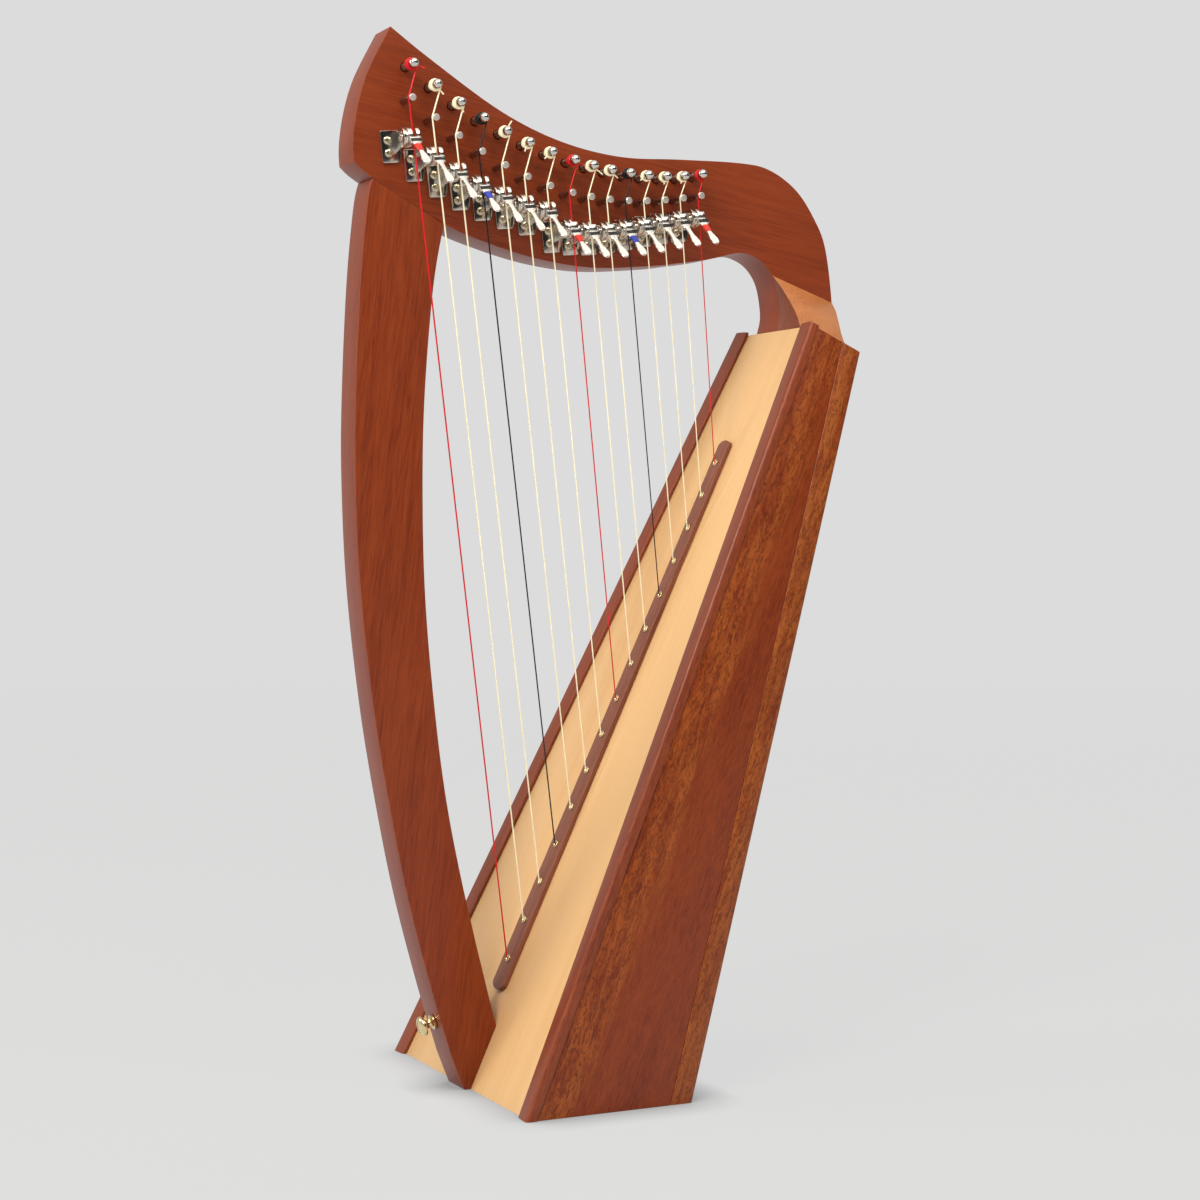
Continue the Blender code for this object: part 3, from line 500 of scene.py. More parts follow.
def board_out(p):
    """How far a point lies in front of the soundboard's face."""
    return (p - BOARD_POINT).dot(BOARD_OUT)


def board_along(p):
    return (p - BOARD_POINT).dot(BOARD_ALONG)


def board_spot(along, across, out):
    """A point by its place along the soundboard, across it and out of its face."""
    return BOARD_POINT + BOARD_ALONG * along + BOARD_OUT * out + Vector((0.0, across, 0.0))


BOARD_THICK = -min(board_out(p) for p in node_corners("soundboard"))
strip_bm = node_mesh("string_strip")
strip_corners = node_corners("string_strip")
strip_outs = [board_out(p) for p in strip_corners]
eyelet_tops = [p for p in strip_corners if board_out(p) > max(strip_outs) - 0.1 * MM]
eyelet_places = grouped(eyelet_tops, 3 * MM)
flat_faces = [f for f in strip_bm.faces if f.normal.dot(BOARD_OUT) > 0.99]
STRIP_TOP = board_out(max(flat_faces, key=lambda f: f.calc_area()).calc_center_median())


# Materials

class Nodes:
    """Short calls for building a node tree."""

    def __init__(self, tree):
        self.tree = tree

    def feed(self, slot, value):
        """Links an input to an output, or sets its value; a colour gets full alpha."""
        if isinstance(value, bpy.types.NodeSocket):
            self.tree.links.new(value, slot)
        else:
            slot.default_value = (*value, 1.0) if slot.type == "RGBA" else value

    def add(self, kind, inputs, **settings):
        """A new node with these settings, its inputs set or linked."""
        made = self.tree.nodes.new("ShaderNode" + kind)
        for key, value in settings.items():
            setattr(made, key, value)
        for key, value in inputs.items():
            self.feed(made.inputs[key], value)
        return made

    def level(self, value, low, high, out_low=0.0, out_high=1.0, **settings):
        """The value moved from one range to another, and held within it."""
        inputs = {"Value": value, "From Min": low, "From Max": high, "To Min": out_low, "To Max": out_high}
        return self.add("MapRange", inputs, **settings).outputs["Result"]

    def maths(self, kind, a, b):
        return self.add("Math", {0: a, 1: b}, operation=kind).outputs[0]

    def plus(self, a, b):
        return self.maths("ADD", a, b)

    def times(self, a, b):
        return self.maths("MULTIPLY", a, b)

    def vectors(self, kind, *values, result="Vector"):
        return self.add("VectorMath", dict(enumerate(values)), operation=kind).outputs[result]

    def along(self, vector, way):
        return self.vectors("DOT_PRODUCT", vector, way, result="Value")

    def mix(self, share, a, b, kind="RGBA"):
        inputs = {"Factor": share, "A": a, "B": b}
        return self.add("Mix", inputs, data_type=kind).outputs["Result"]


class Material(Nodes):
    """A node material whose noise lies along the grain, turned about Y."""

    def __init__(self, name, colour, roughness, metallic=0.0, turn=0.0, seed=0.0):
        self.material = bpy.data.materials.new(name)
        self.material.use_nodes = True
        super().__init__(self.material.node_tree)
        self.shader = self.tree.nodes["Principled BSDF"]
        self.set({"Base Color": colour, "Roughness": roughness, "Metallic": metallic})
        self.place = self.add("TexCoord", {}).outputs["Object"]
        shift = (seed, seed * 0.7, seed * 1.3)
        inputs = {"Vector": self.place, "Rotation": (0.0, turn, 0.0), "Location": shift}
        self.grain = self.add("Mapping", inputs).outputs["Vector"]

    def set(self, inputs):
        for key, value in inputs.items():
            self.feed(self.shader.inputs[key], value)

    def noise(self, scale, detail, rough, bend=0.0):
        """Noise with its own frequency along each axis of the grain."""
        sized = self.add("Mapping", {"Vector": self.grain, "Scale": scale}).outputs["Vector"]
        inputs = {"Vector": sized, "Scale": 1.0, "Detail": detail, "Roughness": rough, "Distortion": bend}
        return self.add("TexNoise", inputs).outputs["Fac"]

    def ramp(self, value, stops):
        made = self.add("ValToRGB", {"Fac": value})
        band = made.color_ramp
        while len(band.elements) < len(stops):
            band.elements.new(0.5)
        for element, (place, colour) in zip(band.elements, stops):
            element.position = place
            element.color = (*colour, 1.0)
        return made.outputs["Color"]

    def edge(self, radius):
        """How near a convex edge is, from the angle between the true and the rounded normal."""
        soft = self.add("Bevel", {"Radius": radius}, samples=4).outputs["Normal"]
        true = self.add("NewGeometry", {}).outputs["Normal"]
        return self.level(self.maths("SUBTRACT", 1.0, self.along(soft, true)), *EDGE_TURN)

    def board_distance(self):
        """How far the surface lies in front of the soundboard's face, below zero behind it."""
        return self.along(self.vectors("SUBTRACT", self.place, BOARD_POINT), BOARD_OUT)

    def finish(self, colour, rough, height, strength, depth):
        """The finished material, with its colour, roughness and bump."""
        bump = self.add("Bump", {"Strength": strength, "Distance": depth, "Height": height})
        self.set({"Base Color": colour, "Roughness": rough, "Normal": bump.outputs["Normal"]})
        return self.material

    def lacquer(self, rough):
        self.set({"Specular IOR Level": WOOD_GLOSS, "Coat Weight": WOOD_COAT, "Coat Roughness": rough})


def tinted(colour, factors):
    return tuple(c * f for c, f in zip(colour, factors))


def grey(factor):
    return (factor, factor, factor)


EDGE_TURN = (0.02, 0.25)
WOOD_GLOSS = 0.3
WOOD_COAT = 0.1

# Noise frequencies a metre along X, Y and Z, where X lies along a wood's grain
FIBRES = (26.0, 950.0, 950.0)
BANDS = (4.0, 90.0, 90.0)
CLOUDS = (7.0, 16.0, 16.0)
PORES = (150.0, 2600.0, 2600.0)
WAVES = (150.0, 640.0, 640.0)
RIBBONS = (12.0, 170.0, 170.0)
GROWTH_LINES = (2.0, 560.0, 30.0)
SPRUCE_CLOUDS = (4.0, 22.0, 10.0)
SPRUCE_SILK = (90.0, 40.0, 40.0)
METAL_HAIRS = (300.0, 4200.0, 4200.0)
NYLON_LENGTHS = (900.0, 900.0, 120.0)

# Wood tones as factors of red, green and blue
DARK_SPREAD = (-1.5, -2.0, -2.0)
LIGHT_SPREAD = (1.0, 1.5, 1.6)
BRIGHT_FIGURE = (1.6, 2.4, 2.2)
DEEP_FIGURE = (0.42, 0.32, 0.3)
# Edge tint: partly real wear through the stain, partly a painted highlight
EDGE_WEAR_AND_HIGHLIGHT_TINT = (1.0, 1.25, 1.5)
PORE_TONE = 0.35
FIGURE_WAVER = 6.0 * MM
FIGURE_FADE = (-8.0 * MM, 4.0 * MM)


def mahogany(name, tone, turn, spread=0.2, figure=0.0, pores=0.35, seed=0.0, edge=1.9, out=None):
    """Stained mahogany: fine fibres along the grain, broad bands, open pores, a satin lacquer, and lighter
    edges that are partly real wear through the stain and partly a painted highlight.

    Figure adds wavy flecks, which fade out at the distance out behind the soundboard's face.
    """
    n = Material(name, tone, 0.4, turn=turn, seed=seed)
    fibres = n.noise(FIBRES, 5.0, 0.6, 0.4)
    bands = n.noise(BANDS, 4.0, 0.55, 0.5)
    clouds = n.noise(CLOUDS, 3.0, 0.5)
    mixed = n.plus(n.plus(n.times(fibres, 0.56), n.times(bands, 0.24)), n.times(clouds, 0.2))
    dark = tinted(tone, [1 + spread * c for c in DARK_SPREAD])
    light = tinted(tone, [1 + spread * c for c in LIGHT_SPREAD])
    base = n.ramp(mixed, ((0.39, dark), (0.5, tone), (0.61, light)))
    holes = n.level(n.noise(PORES, 2.0, 0.6), 0.6, 0.72)
    if figure:
        waves = n.noise(WAVES, 3.0, 0.6, 1.4)
        ribbon = n.noise(RIBBONS, 3.0, 0.55, 0.8)
        glow = n.times(n.level(ribbon, 0.36, 0.62), figure)
        flecks = n.times(n.level(waves, 0.46, 0.6), figure)
        if out is not None:
            reach = n.plus(n.board_distance(), n.level(ribbon, 0.3, 0.7, -FIGURE_WAVER, FIGURE_WAVER))
            mask = n.level(reach, FIGURE_FADE[0] - out, FIGURE_FADE[1] - out)
            glow = n.times(glow, mask)
            flecks = n.times(flecks, mask)
        base = n.mix(glow, base, tinted(tone, BRIGHT_FIGURE))
        base = n.mix(n.times(flecks, 0.8), base, tinted(tone, DEEP_FIGURE))
    shaded = n.mix(n.times(holes, pores), base, tinted(tone, grey(PORE_TONE)))
    # Convex edges are painted lighter: partly real wear through the stain, partly a painted highlight on the
    # rounded edges.
    rubbed_and_lit_edge = n.times(n.edge(1.0 * MM), n.level(fibres, 0.35, 0.6, 0.15, 0.75))
    wear_and_highlight = n.mix(rubbed_and_lit_edge, shaded, tinted(tone, [edge * c for c in EDGE_WEAR_AND_HIGHLIGHT_TINT]))
    n.lacquer(0.25)
    rough = n.level(n.plus(fibres, holes), 0.2, 1.6, 0.32, 0.52)
    return n.finish(wear_and_highlight, rough, n.maths("SUBTRACT", n.times(fibres, 0.4), holes), 0.3, 0.1 * MM)


def spruce_wood(name, turn):
    """Spruce: faint narrow growth lines, soft broad tones and a thin satin lacquer."""
    n = Material(name, SPRUCE, 0.42, turn=turn)
    lines = n.noise(GROWTH_LINES, 3.0, 0.55, 0.15)
    broad = n.noise(SPRUCE_CLOUDS, 3.0, 0.5)
    silk = n.noise(SPRUCE_SILK, 2.0, 0.5, 0.4)
    tone = n.plus(n.times(lines, 0.45), n.times(broad, 0.55))
    dark = tinted(SPRUCE, (0.93, 0.87, 0.8))
    light = tinted(SPRUCE, (1.05, 1.07, 1.12))
    base = n.ramp(tone, ((0.34, dark), (0.5, SPRUCE), (0.66, light)))
    gleam = n.mix(n.times(n.level(silk, 0.55, 0.75), 0.14), base, light)
    n.lacquer(0.3)
    return n.finish(gleam, n.level(tone, 0.3, 0.7, 0.38, 0.5), lines, 0.2, 0.05 * MM)


def metal(name, colour, low, high, dirt, wear_and_highlight=1.0):
    """Plated metal: faint brushing, cloudy polish, dark spots and a painted highlight on its edges."""
    n = Material(name, colour, low, 1.0)
    clouds = n.noise(grey(220.0), 4.0, 0.6)
    spots = n.level(n.noise(grey(900.0), 3.0, 0.7), 0.58, 0.74)
    stained = n.mix(n.times(spots, 0.25 * wear_and_highlight), colour, dirt)
    toned = n.mix(n.level(clouds, 0.35, 0.75, 0.0, 0.35 * wear_and_highlight), stained, dirt)
    # Convex edges are painted lighter: a painted highlight.
    gleam = tuple(min(1.0, 1.2 * c) for c in colour)
    edge_highlighted_tone = n.mix(n.times(n.edge(0.35 * MM), 0.35), toned, gleam)
    rough = n.level(n.plus(clouds, spots), 0.3, 1.4, low, high)
    return n.finish(edge_highlighted_tone, rough, n.noise(METAL_HAIRS, 3.0, 0.6), 0.08, 0.02 * MM)


def nylon(name, colour, glow):
    """A string: smooth, faintly uneven, with a little painted glow for the light through it."""
    n = Material(name, colour, 0.3)
    uneven = n.noise(NYLON_LENGTHS, 3.0, 0.5)
    toned = n.mix(n.level(uneven, 0.35, 0.7), colour, tinted(colour, grey(0.8)))
    # Emission: a painted glow for the light through the string.
    n.set({"Specular IOR Level": 0.3, "Emission Color": colour, "Emission Strength": glow})
    return n.finish(toned, n.level(uneven, 0.3, 0.7, 0.24, 0.4), uneven, 0.15, 0.03 * MM)


def rubber(name, colour):
    """The soft coloured sleeves on some levers."""
    n = Material(name, colour, 0.45)
    grain = n.noise(grey(2500.0), 3.0, 0.6)
    toned = n.mix(n.level(grain, 0.4, 0.7), colour, tinted(colour, grey(0.7)))
    return n.finish(toned, n.level(grain, 0.3, 0.7, 0.38, 0.55), grain, 0.2, 0.04 * MM)


ALONG_PILLAR = radians(82.0)
ALONG_BOX = atan2(BOARD_ALONG.z, BOARD_ALONG.x)
SPRUCE = (0.745, 0.46, 0.21)
MAHOGANY = (0.222, 0.0335, 0.0058)
neck_wood = mahogany("neck_wood", MAHOGANY, radians(-10.0), 0.16)
pillar_wood = mahogany("pillar_wood", MAHOGANY, ALONG_PILLAR, seed=3.0)
side_wood = mahogany("side_wood", (0.232, 0.036, 0.0055), ALONG_BOX, 0.2, 0.9, 0.4, 5.0, out=26.0 * MM)
rail_wood = mahogany("rail_wood", (0.25, 0.045, 0.008), ALONG_BOX, 0.22, 0.8, 0.5, 7.0, edge=2.4)
back_wood = mahogany("back_wood", (0.26, 0.046, 0.01), ALONG_BOX, 0.24, 0.3, 0.45, 8.0)
trim_wood = mahogany("trim_wood", (0.24, 0.047, 0.015), ALONG_BOX, 0.2, 0.0, 0.5, 9.0)
block_wood = mahogany("block_wood", (0.20, 0.042, 0.012), radians(60.0), seed=10.0)
facet_wood = mahogany("facet_wood", (0.50, 0.175, 0.054), radians(32.0), 0.16, 0.0, 0.25, 11.0, 1.15)
inner_wood = mahogany("inner_wood", (0.32, 0.10, 0.035), ALONG_BOX, 0.25, 0.3, 0.6, 13.0)
strip_wood = mahogany("strip_wood", (0.215, 0.064, 0.032), ALONG_BOX, 0.2, 0.0, 0.5, 15.0, 1.3)
board_wood = spruce_wood("spruce_board", ALONG_BOX)
nickel = metal("nickel_plate", (0.74, 0.70, 0.64), 0.10, 0.24, (0.46, 0.41, 0.35))
# A lighter, rougher copy of the plate nickel for the levers; the extra lightness is painted light.
lit_lever_nickel = metal("lit_lever_nickel", (0.93, 0.89, 0.83), 0.2, 0.3, (0.62, 0.56, 0.48), 0.5)
# A lighter, rougher copy of the pin nickel for the bridge pins' ends; the extra lightness is painted light.
lit_pin_end = metal("bridge_pin_end", (0.86, 0.80, 0.74), 0.42, 0.56, (0.62, 0.55, 0.48))
steel = metal("pin_nickel", (0.72, 0.70, 0.66), 0.12, 0.26, (0.42, 0.39, 0.35))
# A darker, browner copy of the pin nickel for the pins' stems: painted shade, with the brown of the
# reflected wood painted in.
shaded_pin_steel = metal("pin_stem_painted_shade", (0.40, 0.29, 0.23), 0.24, 0.4, (0.16, 0.10, 0.07))
screw_metal = metal("screw_metal", (0.66, 0.59, 0.43), 0.2, 0.36, (0.36, 0.29, 0.18))
brass = metal("polished_brass", (0.88, 0.73, 0.42), 0.2, 0.36, (0.55, 0.41, 0.18))

# Strings' colours: the slot's string material and its lever's sleeve, if it has one
STRING_LOOKS = {
    "red_string": (nylon("red_nylon", (0.72, 0.012, 0.018), 0.06),
                   rubber("red_sleeve", (0.72, 0.03, 0.015))),
    "black_string": (nylon("black_nylon", (0.012, 0.012, 0.014), 0.0),
                     rubber("blue_sleeve", (0.03, 0.05, 0.42))),
    "natural_string": (nylon("clear_nylon", (0.95, 0.87, 0.60), 0.22), None),
}


def string_slot(i):
    return "red_string" if i in RED_STRINGS else "black_string" if i in BLACK_STRINGS else "natural_string"


def stands_for(item, node, body="frame"):
    """The piece rides on a body and replaces a node."""
    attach(item, body)
    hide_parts(node)


# Boards of the neck and pillar

def board(name, bm, made):
    """A board of the leaning frame, rebuilt from its near face's outline with round edges."""
    near = [f for f in bm.faces if f.normal.y < -0.9
            and all(abs(stand_of(v.co)) < 0.05 * MM for v in f.verts)]
    outline = straighten(face_loops(bm, near)[0])
    fine = smooth_line(outline, 4, radians(22))
    item = lofted(name, [[Vector((p.x, face_y(p.x, p.z, stand), p.z)) for p in fine]
                         for stand in (0.0, -FRAME_THICK)])
    round_edges(item, BOARD_EDGE, 4, 50.0, made)
    return item


def pin_bores():
    """Bores through the neck, chamfered at both ends."""
    reach = PIN_RADIUS + PIN_BORE_GAP
    wide = reach + PIN_BORE_CHAMFER
    back = -FRAME_THICK
    profile = ((wide, BORE_OVER), (wide, 0.0), (reach, -PIN_BORE_CHAMFER),
               (reach, back + PIN_BORE_CHAMFER), (wide, back), (wide, back - BORE_OVER))
    bm = bmesh.new()
    for place in pin_places:
        loft(bm, circles(place, -Y_AXIS, X_AXIS, profile, ROUND_SIDES))
    return to_object("bores", bm)


neck_board = board("neck_board", neck_bm, neck_wood)
combine(neck_board, pin_bores(), "DIFFERENCE")
finish_mesh(neck_board, neck_wood, WOOD_ANGLE)
stands_for(neck_board, "neck")
stands_for(board("pillar_board", node_mesh("pillar"), pillar_wood), "pillar")


# Soundbox

def rounded_copy(name, node, made, width, angle=50.0, planes=()):
    """The node's solid, cut by planes that drop the side they point to, with round edges."""
    bm = node_mesh(node)
    bmesh.ops.dissolve_limit(bm, angle_limit=radians(0.5), verts=bm.verts, edges=bm.edges)
    for plane in planes:
        cut(bm, *plane)
    item = to_object(name, bm, made)
    round_edges(item, width, 3, angle, made)
    return item


shoulder = rounded_copy("shoulder_piece", "shoulder_block", block_wood, BLOCK_EDGE)
# The faces that look up and to the front take a lighter wood.
paint_part(shoulder, facet_wood, lambda face: face.normal.y < -0.4 and face.normal.z > 0.4)
stands_for(shoulder, "shoulder_block")
stands_for(rounded_copy("spruce_top", "soundboard", board_wood, PANEL_EDGE), "soundboard")


def trim_piece(name, node, sign):
    """A half-round trim on the soundboard, its lip over the board's edge."""
    corners = node_corners(node)
    outs = [board_out(p) for p in corners]
    high, low = max(outs), min(o for o in outs if o > 0.0)
    top = max(board_along(p) for p in corners)
    half_top = max(abs(p.y) for p in corners if board_along(p) > top - 1.0 * MM)
    wide = max(corners, key=lambda p: abs(p.y))
    slope = (abs(wide.y) - half_top) / (top - board_along(wide))
    rings = []
    for along in (-BELOW_FLOOR, top):
        outer = half_top + slope * (top - along)
        inner = outer - TRIM_WIDTH
        lip = outer - TRIM_LIP
        section = [(inner, low), (lip, low), (lip, -BOARD_THICK), (outer, -BOARD_THICK)]
        section += [(outer - TRIM_ROUND * (1 - cos(a)), high - TRIM_ROUND * (1 - sin(a)))
                    for a in quarter(TRIM_STEPS)]
        for share in spread(0.0, 1.0, TRIM_STEPS)[1:]:
            across = (outer - TRIM_ROUND) + (inner + TRIM_SOFT - outer + TRIM_ROUND) * share
            section.append((across, high - TRIM_CROWN * share ** 2))
        section += [(inner + TRIM_SOFT * (1 - sin(a)),
                     high - TRIM_CROWN - TRIM_SOFT * (1 - cos(a)))
                    for a in quarter(TRIM_STEPS // 2)[1:]]
        rings.append([board_spot(along, sign * across, out) for across, out in section])
    bm = bmesh.new()
    loft(bm, rings)
    cut(bm, Z_AXIS * FLOOR_GAP, -Z_AXIS)
    item = to_object(name, bm, trim_wood)
    round_edges(item, PANEL_EDGE, 3, 50.0, trim_wood)
    return item


for side, sign in (("near", -1.0), ("far", 1.0)):
    node = "edge_trim_" + side
    stands_for(trim_piece("trim_" + side, node, sign), node)

# Sides: figured wood in front that fades into a plain field, and a rear rail
side_bm = node_mesh("side_near")
rear_face = max(side_bm.faces, key=lambda f: f.calc_area() * (f.normal.x > 0.3))
REAR_OUT = rear_face.normal.copy()
rear_cut = rear_face.verts[0].co - REAR_OUT * SIDE_REAR_RAIL
SIDE_PIECES = (("panel", side_wood, -1.0), ("rear_rail", rail_wood, 1.0))
for side in ("near", "far"):
    node = "side_" + side
    for part, made, sign in SIDE_PIECES:
        planes = [(rear_cut + REAR_OUT * SEAM * sign, -REAR_OUT * sign)]
        item = rounded_copy("side_%s_%s" % (part, side), node, made, PANEL_EDGE, 40.0, planes)
        stands_for(item, node)


def back_board():
    """The back with its oval holes drawn smooth."""
    bm = node_mesh("back_panel")
    loops = face_loops(bm, [f for f in bm.faces if f.normal.dot(REAR_OUT) > 0.99])
    corners = straighten(loops[0])
    inside = straighten(face_loops(bm, [f for f in bm.faces if f.normal.dot(REAR_OUT) < -0.99])[0])
    partners = [min(inside, key=lambda q: (q - p).length) for p in corners]
    thick = max((p - q).dot(REAR_OUT) for p, q in zip(corners, partners))
    item = lofted("back_board", [corners, partners], back_wood)
    for loop in loops[1:]:
        oval = smooth_line(loop, 4)
        ends = [[p + REAR_OUT * thick * share for p in oval] for share in (1, -2)]
        combine(item, lofted("hole", ends), "DIFFERENCE")
    round_edges(item, BLOCK_EDGE, 3, 50.0, back_wood)
    return item


stands_for(back_board(), "back_panel")
for node in ("top_block", "base_board", "inner_rib"):
    paint(nodes[node], inner_wood)

# String strip and eyelets
strip_alongs = [board_along(p) for p in strip_corners]
STRIP_ENDS = (min(strip_alongs), max(strip_alongs))
strip_middle = sum(STRIP_ENDS) / 2
STRIP_HALVES = [max(abs(p.y) for p in strip_corners if (board_along(p) - strip_middle) * sign > 0)
                for sign in (-1, 1)]


def strip_ring(out, inset):
    """The strip's outline with its round ends, drawn in by an inset."""
    ring = []
    for sign, end, width in zip((-1.0, 1.0), STRIP_ENDS, STRIP_HALVES):
        reach = STRIP_END_SHARE * width
        for a in spread(-pi / 2, pi / 2, 24):
            along = end + sign * ((reach - inset) * cos(a) - reach)
            ring.append(board_spot(along, sign * (width - inset) * sin(a), out))
    return ring


rings = [strip_ring(min(strip_outs), 0.0)]
rings += [strip_ring(STRIP_TOP - STRIP_CHAMFER * (1 - sin(a)), STRIP_CHAMFER * (1 - cos(a)))
          for a in quarter(5)]
strip = lofted("string_rail", rings, strip_wood)
bm = bmesh.new()
for place in eyelet_places:
    loft(bm, circles(place, BOARD_OUT, BOARD_ALONG, in_mm(EYELET_BORE), EYELET_SIDES))
combine(strip, to_object("bores", bm), "DIFFERENCE")
finish_mesh(strip, strip_wood, WOOD_ANGLE)
stands_for(strip, "string_strip")
side = BOARD_OUT.orthogonal().normalized()
for name, place in zip(NAMES, eyelet_places):
    rings = circles(place, BOARD_OUT, side, in_mm(EYELET_PROFILE), EYELET_SIDES)
    stands_for(lofted("eyelet_" + name, rings, brass, 50.0, looped=True), "string_strip")


# Tuning pins and bridge pins

def pin_master():
    """A pin at the origin, its ball towards -Y and its square drive at the back."""
    back = -FRAME_THICK - PIN_BACK
    shoulder = PIN_STAND - PIN_BALL
    profile = [(PIN_RADIUS * 0.85, back), (PIN_RADIUS, back + 0.6 * MM)]
    for k in range(int((PIN_THREAD_TO - PIN_THREAD_FROM) / PIN_THREAD_PITCH)):
        at = PIN_THREAD_FROM + PIN_THREAD_PITCH * k
        profile += [(PIN_RADIUS, at), (PIN_RADIUS, at + 0.35 * PIN_THREAD_PITCH),
                    (PIN_RADIUS - PIN_THREAD_DEPTH, at + 0.6 * PIN_THREAD_PITCH)]
    profile += [(PIN_RADIUS, PIN_THREAD_TO), (PIN_RADIUS, shoulder - 1.2 * MM),
                (PIN_NECK, shoulder - 0.5 * MM)]
    for a in spread(pi - asin(PIN_NECK / PIN_BALL), 0.0, 14):
        profile.append((max(PIN_BALL * sin(a), 0.02 * MM), PIN_STAND + PIN_BALL * cos(a)))
    item = turned("pin_master", Vector(), -Y_AXIS, profile, ROUND_SIDES)
    rings = []
    for share, size in PIN_DRIVE_TAPER:
        half = size * PIN_DRIVE / 2
        y = PIN_DRIVE_LENGTH * share - back + PIN_DRIVE_ROOT * (share - 1)
        rings.append([Vector((x * half, y, z * half)) for x, z in SQUARE])
    drive = lofted("tool", rings)
    round_edges(drive, 0.3 * MM, 2, 40.0)
    combine(item, drive)
    finish_mesh(item, steel, 35.0)
    # The stem takes the painted shade and the painted brown of the reflected wood.
    paint_part(item, shaded_pin_steel, lambda face: face.center.y > 0.2 * MM - shoulder)
    return item


pin_shape = pin_master()
for name, place in zip(NAMES, pin_places):
    item = placed_copy("pin_" + name, pin_shape, Matrix.Translation(place))
    stands_for(item, "tuning_pin_" + name, "tuning_pin_" + name)

BRIDGE_PROFILE = ((BRIDGE_RADIUS, BRIDGE_ROOT), (BRIDGE_RADIUS, STRING_STAND - 2.6 * MM),
                  (BRIDGE_WAIST, STRING_STAND - 1.5 * MM), (BRIDGE_WAIST, STRING_STAND + 0.7 * MM),
                  (BRIDGE_RADIUS * 0.97, STRING_STAND + 1.05 * MM), (BRIDGE_RADIUS, BRIDGE_STAND - 0.4 * MM),
                  (BRIDGE_RADIUS - 0.3 * MM, BRIDGE_STAND - 0.1 * MM), (BRIDGE_RADIUS * 0.5, BRIDGE_STAND))
for name, place in zip(NAMES, bridge_places):
    foot = Vector((place.x, face_y(place.x, place.z, 0.0), place.z))
    item = turned("bridge_pin_" + name, foot, -Y_AXIS, BRIDGE_PROFILE, 28, lit_pin_end, 28.0)
    # The stem takes the painted shade and the painted brown of the reflected wood.
    paint_part(item, shaded_pin_steel, lambda face: foot.y - face.center.y < STRING_STAND - 0.2 * MM)
    stands_for(item, "neck")


# Strings

def tube(name, points, radii, made):
    """A round tube along a line of points, closed at both ends."""
    curve = bpy.data.curves.new(name, "CURVE")
    curve.dimensions = "3D"
    curve.bevel_depth = 1.0
    curve.bevel_resolution = 4
    curve.use_fill_caps = True
    line = curve.splines.new("POLY")
    line.points.add(len(points) - 1)
    for slot, p, radius in zip(line.points, points, radii):
        slot.co = (*p, 1.0)
        slot.radius = radius
    item = add_object(name, curve)
    mesh = evaluated_mesh(item)
    bpy.data.objects.remove(item, do_unlink=True)
    bpy.data.curves.remove(curve)
    bm = bmesh.new()
    bm.from_mesh(mesh)
    bpy.data.meshes.remove(mesh)
    bmesh.ops.remove_doubles(bm, verts=bm.verts, dist=SAME_POINT)
    return to_object(name, bm, made, 60.0)


def wound_points(pin, start, inner, outer, pitch):
    """Two layers round a pin, from the last turn back to where the string leaves."""
    points = []
    for k in range(int((WIND_TURNS + WIND_OVER) * WIND_STEPS), -1, -1):
        turn = k / WIND_STEPS
        if turn < WIND_OVER:
            depth = turn + 0.5
            reach = outer
        else:
            depth = WIND_TURNS - (turn - WIND_OVER)
            ease = min((turn - WIND_OVER) / WIND_EASE, 1.0)
            reach = outer * (1 - ease) + inner * ease
        points.append(around(pin, start + FULL_TURN * turn, reach, WIND_START - pitch * depth))
    return points


def tail_points(pin, start, inner, outer, turn, reach):
    """The string's free end, from the winding out to an angle and off the pin."""
    stop = radians(turn)
    while stop < start:
        stop += FULL_TURN
    tail = [around(pin, start + (stop - start) * share, inner + (outer - inner) * share,
                   WIND_START + TAIL_RISE * share) for share in spread(0.0, 1.0, TAIL_STEPS)]
    out = Vector((cos(stop), -TAIL_LEAN, sin(stop))).normalized()
    way = Vector((-sin(stop), 0.0, cos(stop)))
    return tail + [tail[-1] + (way * u + out * v) * MM for u, v in (*TAIL_BEND, (0.9, reach))]


def string_points(i, radius):
    """The string's line: tail, two layers round the pin, bridge pin, eyelet and knot."""
    pin, bridge, hole = pin_places[i], bridge_places[i], eyelet_places[i]
    inner = PIN_RADIUS * WIND_SEAT + radius
    outer = inner + WIND_LAYER * radius
    bridge_radius = BRIDGE_WAIST + BRIDGE_SEAT * radius
    way = Vector((bridge.x - pin.x, bridge.z - pin.z))
    start = atan2(way.y, way.x) + acos((outer + bridge_radius) / way.length)
    tail = tail_points(pin, start + FULL_TURN * (WIND_TURNS + WIND_OVER), inner, outer, *TAILS[i])
    points = tail[:0:-1] + wound_points(pin, start, inner, outer, WIND_PITCH * radius)
    leave = pi + atan2(hole.x - bridge.x, bridge.z - hole.z)
    points += [around(bridge, a, bridge_radius, STRING_STAND) for a in spread(start + pi, leave, 4)]
    knot = hole - BOARD_OUT * (board_out(hole) + KNOT_DEPTH)
    points += [hole + BOARD_OUT * EYE_RISE, hole - BOARD_OUT * EYE_DEPTH]
    return points + [knot + BOARD_OUT * rise * MM for rise, size in KNOT_PROFILE]


for i, name in enumerate(NAMES):
    radius = (STRING_BASS + (STRING_TREBLE - STRING_BASS) * i / (STRINGS - 1)) / 2
    points = string_points(i, radius)
    radii = [radius] * (len(points) - len(KNOT_PROFILE))
    radii += [max(size * MM, radius) for rise, size in KNOT_PROFILE]
    slot = string_slot(i)
    item = tube("string_line_" + name, points, radii, STRING_LOOKS[slot][0])
    stands_for(item, "string_" + name)


# Levers

